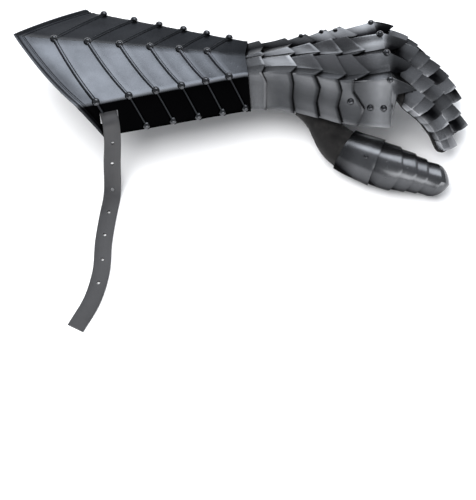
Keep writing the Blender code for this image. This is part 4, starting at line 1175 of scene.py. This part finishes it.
def make_buckle():
    """Short strap inside the far wall and the ring with a bar at its end."""
    half = STRAP / 2
    wall = cuff_point(BUCKLE_AT, np.array([2.5, 4.0]))
    down = unit(wall[1] - wall[0])
    out = np.cross(AHEAD, down)
    out = out if out[1] > 0 else -out
    start = wall[0] - out * (STEEL + GAP + half + 0.0020)
    bend = wall[1] - out * (STEEL + GAP + half + 0.0042) - down * 0.002
    inward = unit([0.0, -1.0, -0.20])
    end = bend + inward * BUCKLE_REACH + down * 0.002
    knots = np.array([start, (start + bend) / 2, bend, (bend + end) / 2 + down * 0.001, end])
    coarse, _ = resample(knots, COARSE_SPACING)
    line, _ = resample(knots, LINE_SPACING)
    ribbon("buckle_strap_leather", line, *strap_lay(line, AHEAD), STRAP_WIDTH, "buckle_strap")
    forward = unit(np.gradient(coarse, axis=0))[-1]
    normal = np.cross(forward, AHEAD)
    centre = coarse[-1] + forward * (GAP + BUCKLE_LENGTH / 2)
    radius = WIRE / 2 * 0.98
    long_half, wide_half = (size / 2 - radius - BUCKLE_CORNER for size in (BUCKLE_LENGTH, BUCKLE_WIDTH))
    path = []
    for a, b, start_turn in ((1, 1, 0), (-1, 1, 90), (-1, -1, 180), (1, -1, 270)):
        for turn in np.radians(np.linspace(start_turn, start_turn + 90, 7)):
            path.append(centre + forward * (a * long_half + math.cos(turn) * BUCKLE_CORNER)
                        + AHEAD * (b * wide_half + math.sin(turn) * BUCKLE_CORNER))
    path = np.array(path)
    count, sides = len(path), 14
    tangents = unit(np.roll(path, -1, axis=0) - np.roll(path, 1, axis=0))
    rings = [circle(point, np.cross(tangent, normal), normal, radius, sides)
             for point, tangent in zip(path, tangents)]
    rings += [circle(centre + AHEAD * BUCKLE_WIDTH * end, forward, normal, WIRE * 0.42, sides)
              for end in (-0.42, 0.42)]
    base = count * sides
    faces = (grid_faces(count + 1, sides, closed=True) % base).tolist()
    faces += [[k + base for k in face] for face in stack_faces(2, sides)]
    piece("buckle_ring", rings, faces, [NICKEL], "buckle", "nickel")


# Floor, light and camera


def make_floor():
    mesh = bpy.data.meshes.new("floor")
    size = 6.0
    corners = [(x * size, y * size, 0) for x, y in ((-1, -1), (1, -1), (1, 1), (-1, 1))]
    mesh.from_pydata(corners, [], [(0, 1, 2, 3)])
    floor = new_object("floor", mesh)
    made, tree, shader = nodes_of("floor")
    tint = ramp(tree, noise(tree, 3, 2), [(0.3, (0.86, 0.86, 0.87)), (0.7, (0.90, 0.90, 0.90))])
    feed(tree, shader, Base_Color=tint, Roughness=0.85)
    mesh.materials.append(made)


def area_light(name, direction, distance, size, power, colour=(1, 1, 1), mirrored=True):
    """Softbox that faces the gauntlet from a direction given in the world."""
    data = bpy.data.lights.new(name, "AREA")
    data.shape = "RECTANGLE"
    data.size, data.size_y = size
    data.energy = power
    data.color = colour
    light = new_object(name, data)
    light.visible_glossy = mirrored
    direction = Vector(direction).normalized()
    light.location = direction * distance
    light.rotation_euler = direction.to_track_quat("Z", "Y").to_euler()


def make_lights():
    world = bpy.data.worlds.new("studio")
    world.use_nodes = True
    tree = world.node_tree
    feed(tree, tree.nodes["Background"], Color=(0.80, 0.83, 0.88, 1), Strength=0.50)
    bpy.context.scene.world = world
    bpy.context.scene.view_settings.view_transform = "Standard"
    area_light("back softbox", (0.10, 0.62, 0.80), 1.6, (1.5, 0.9), 17, (0.93, 0.96, 1.0))
    area_light("top softbox", (-0.35, -0.10, 1.0), 1.8, (1.4, 1.4), 46, mirrored=False)
    area_light("front fill", (0.35, -0.95, 0.32), 1.8, (1.8, 0.7), 14)


def make_camera():
    """Camera as the photo has it, found from the wrist's pixel and the photo's scale."""
    photo_width, photo_height = 476, 500
    wrist_pixel = (245, 57)
    metres_per_pixel = 0.000875
    view_tilt = math.radians(41.3)
    distance = 1.7
    right = np.array([1.0, 0.0, 0.0])
    back = np.array([0.0, -math.cos(view_tilt), math.sin(view_tilt)])
    up = np.cross(back, right)
    shift_right = (photo_width / 2 - wrist_pixel[0]) * metres_per_pixel
    shift_down = (photo_height / 2 - wrist_pixel[1]) * metres_per_pixel
    aim = right * shift_right - up * shift_down
    place = to_world(aim + back * distance)[0]
    data = bpy.data.cameras.new("camera")
    data.sensor_fit = "VERTICAL"
    data.sensor_height = 36.0
    data.lens = 36.0 * distance / (photo_height * metres_per_pixel)
    data.clip_end = 50
    camera = new_object("camera", data)
    turn = np.eye(4)
    turn[:3, :3] = np.stack([TURN @ right, TURN @ up, TURN @ back], axis=1)
    turn[:3, 3] = place
    camera.matrix_world = Matrix(turn.tolist())
    bpy.context.scene.camera = camera


make_camera()
make_floor()
make_lights()
make_cuff()
make_lames()
make_knuckles()
make_scales()
make_thumb_steel()
make_glove_body()
make_stalls()
make_thumb_stall()
make_cuff_strap()
make_palm_strap()
make_buckle()
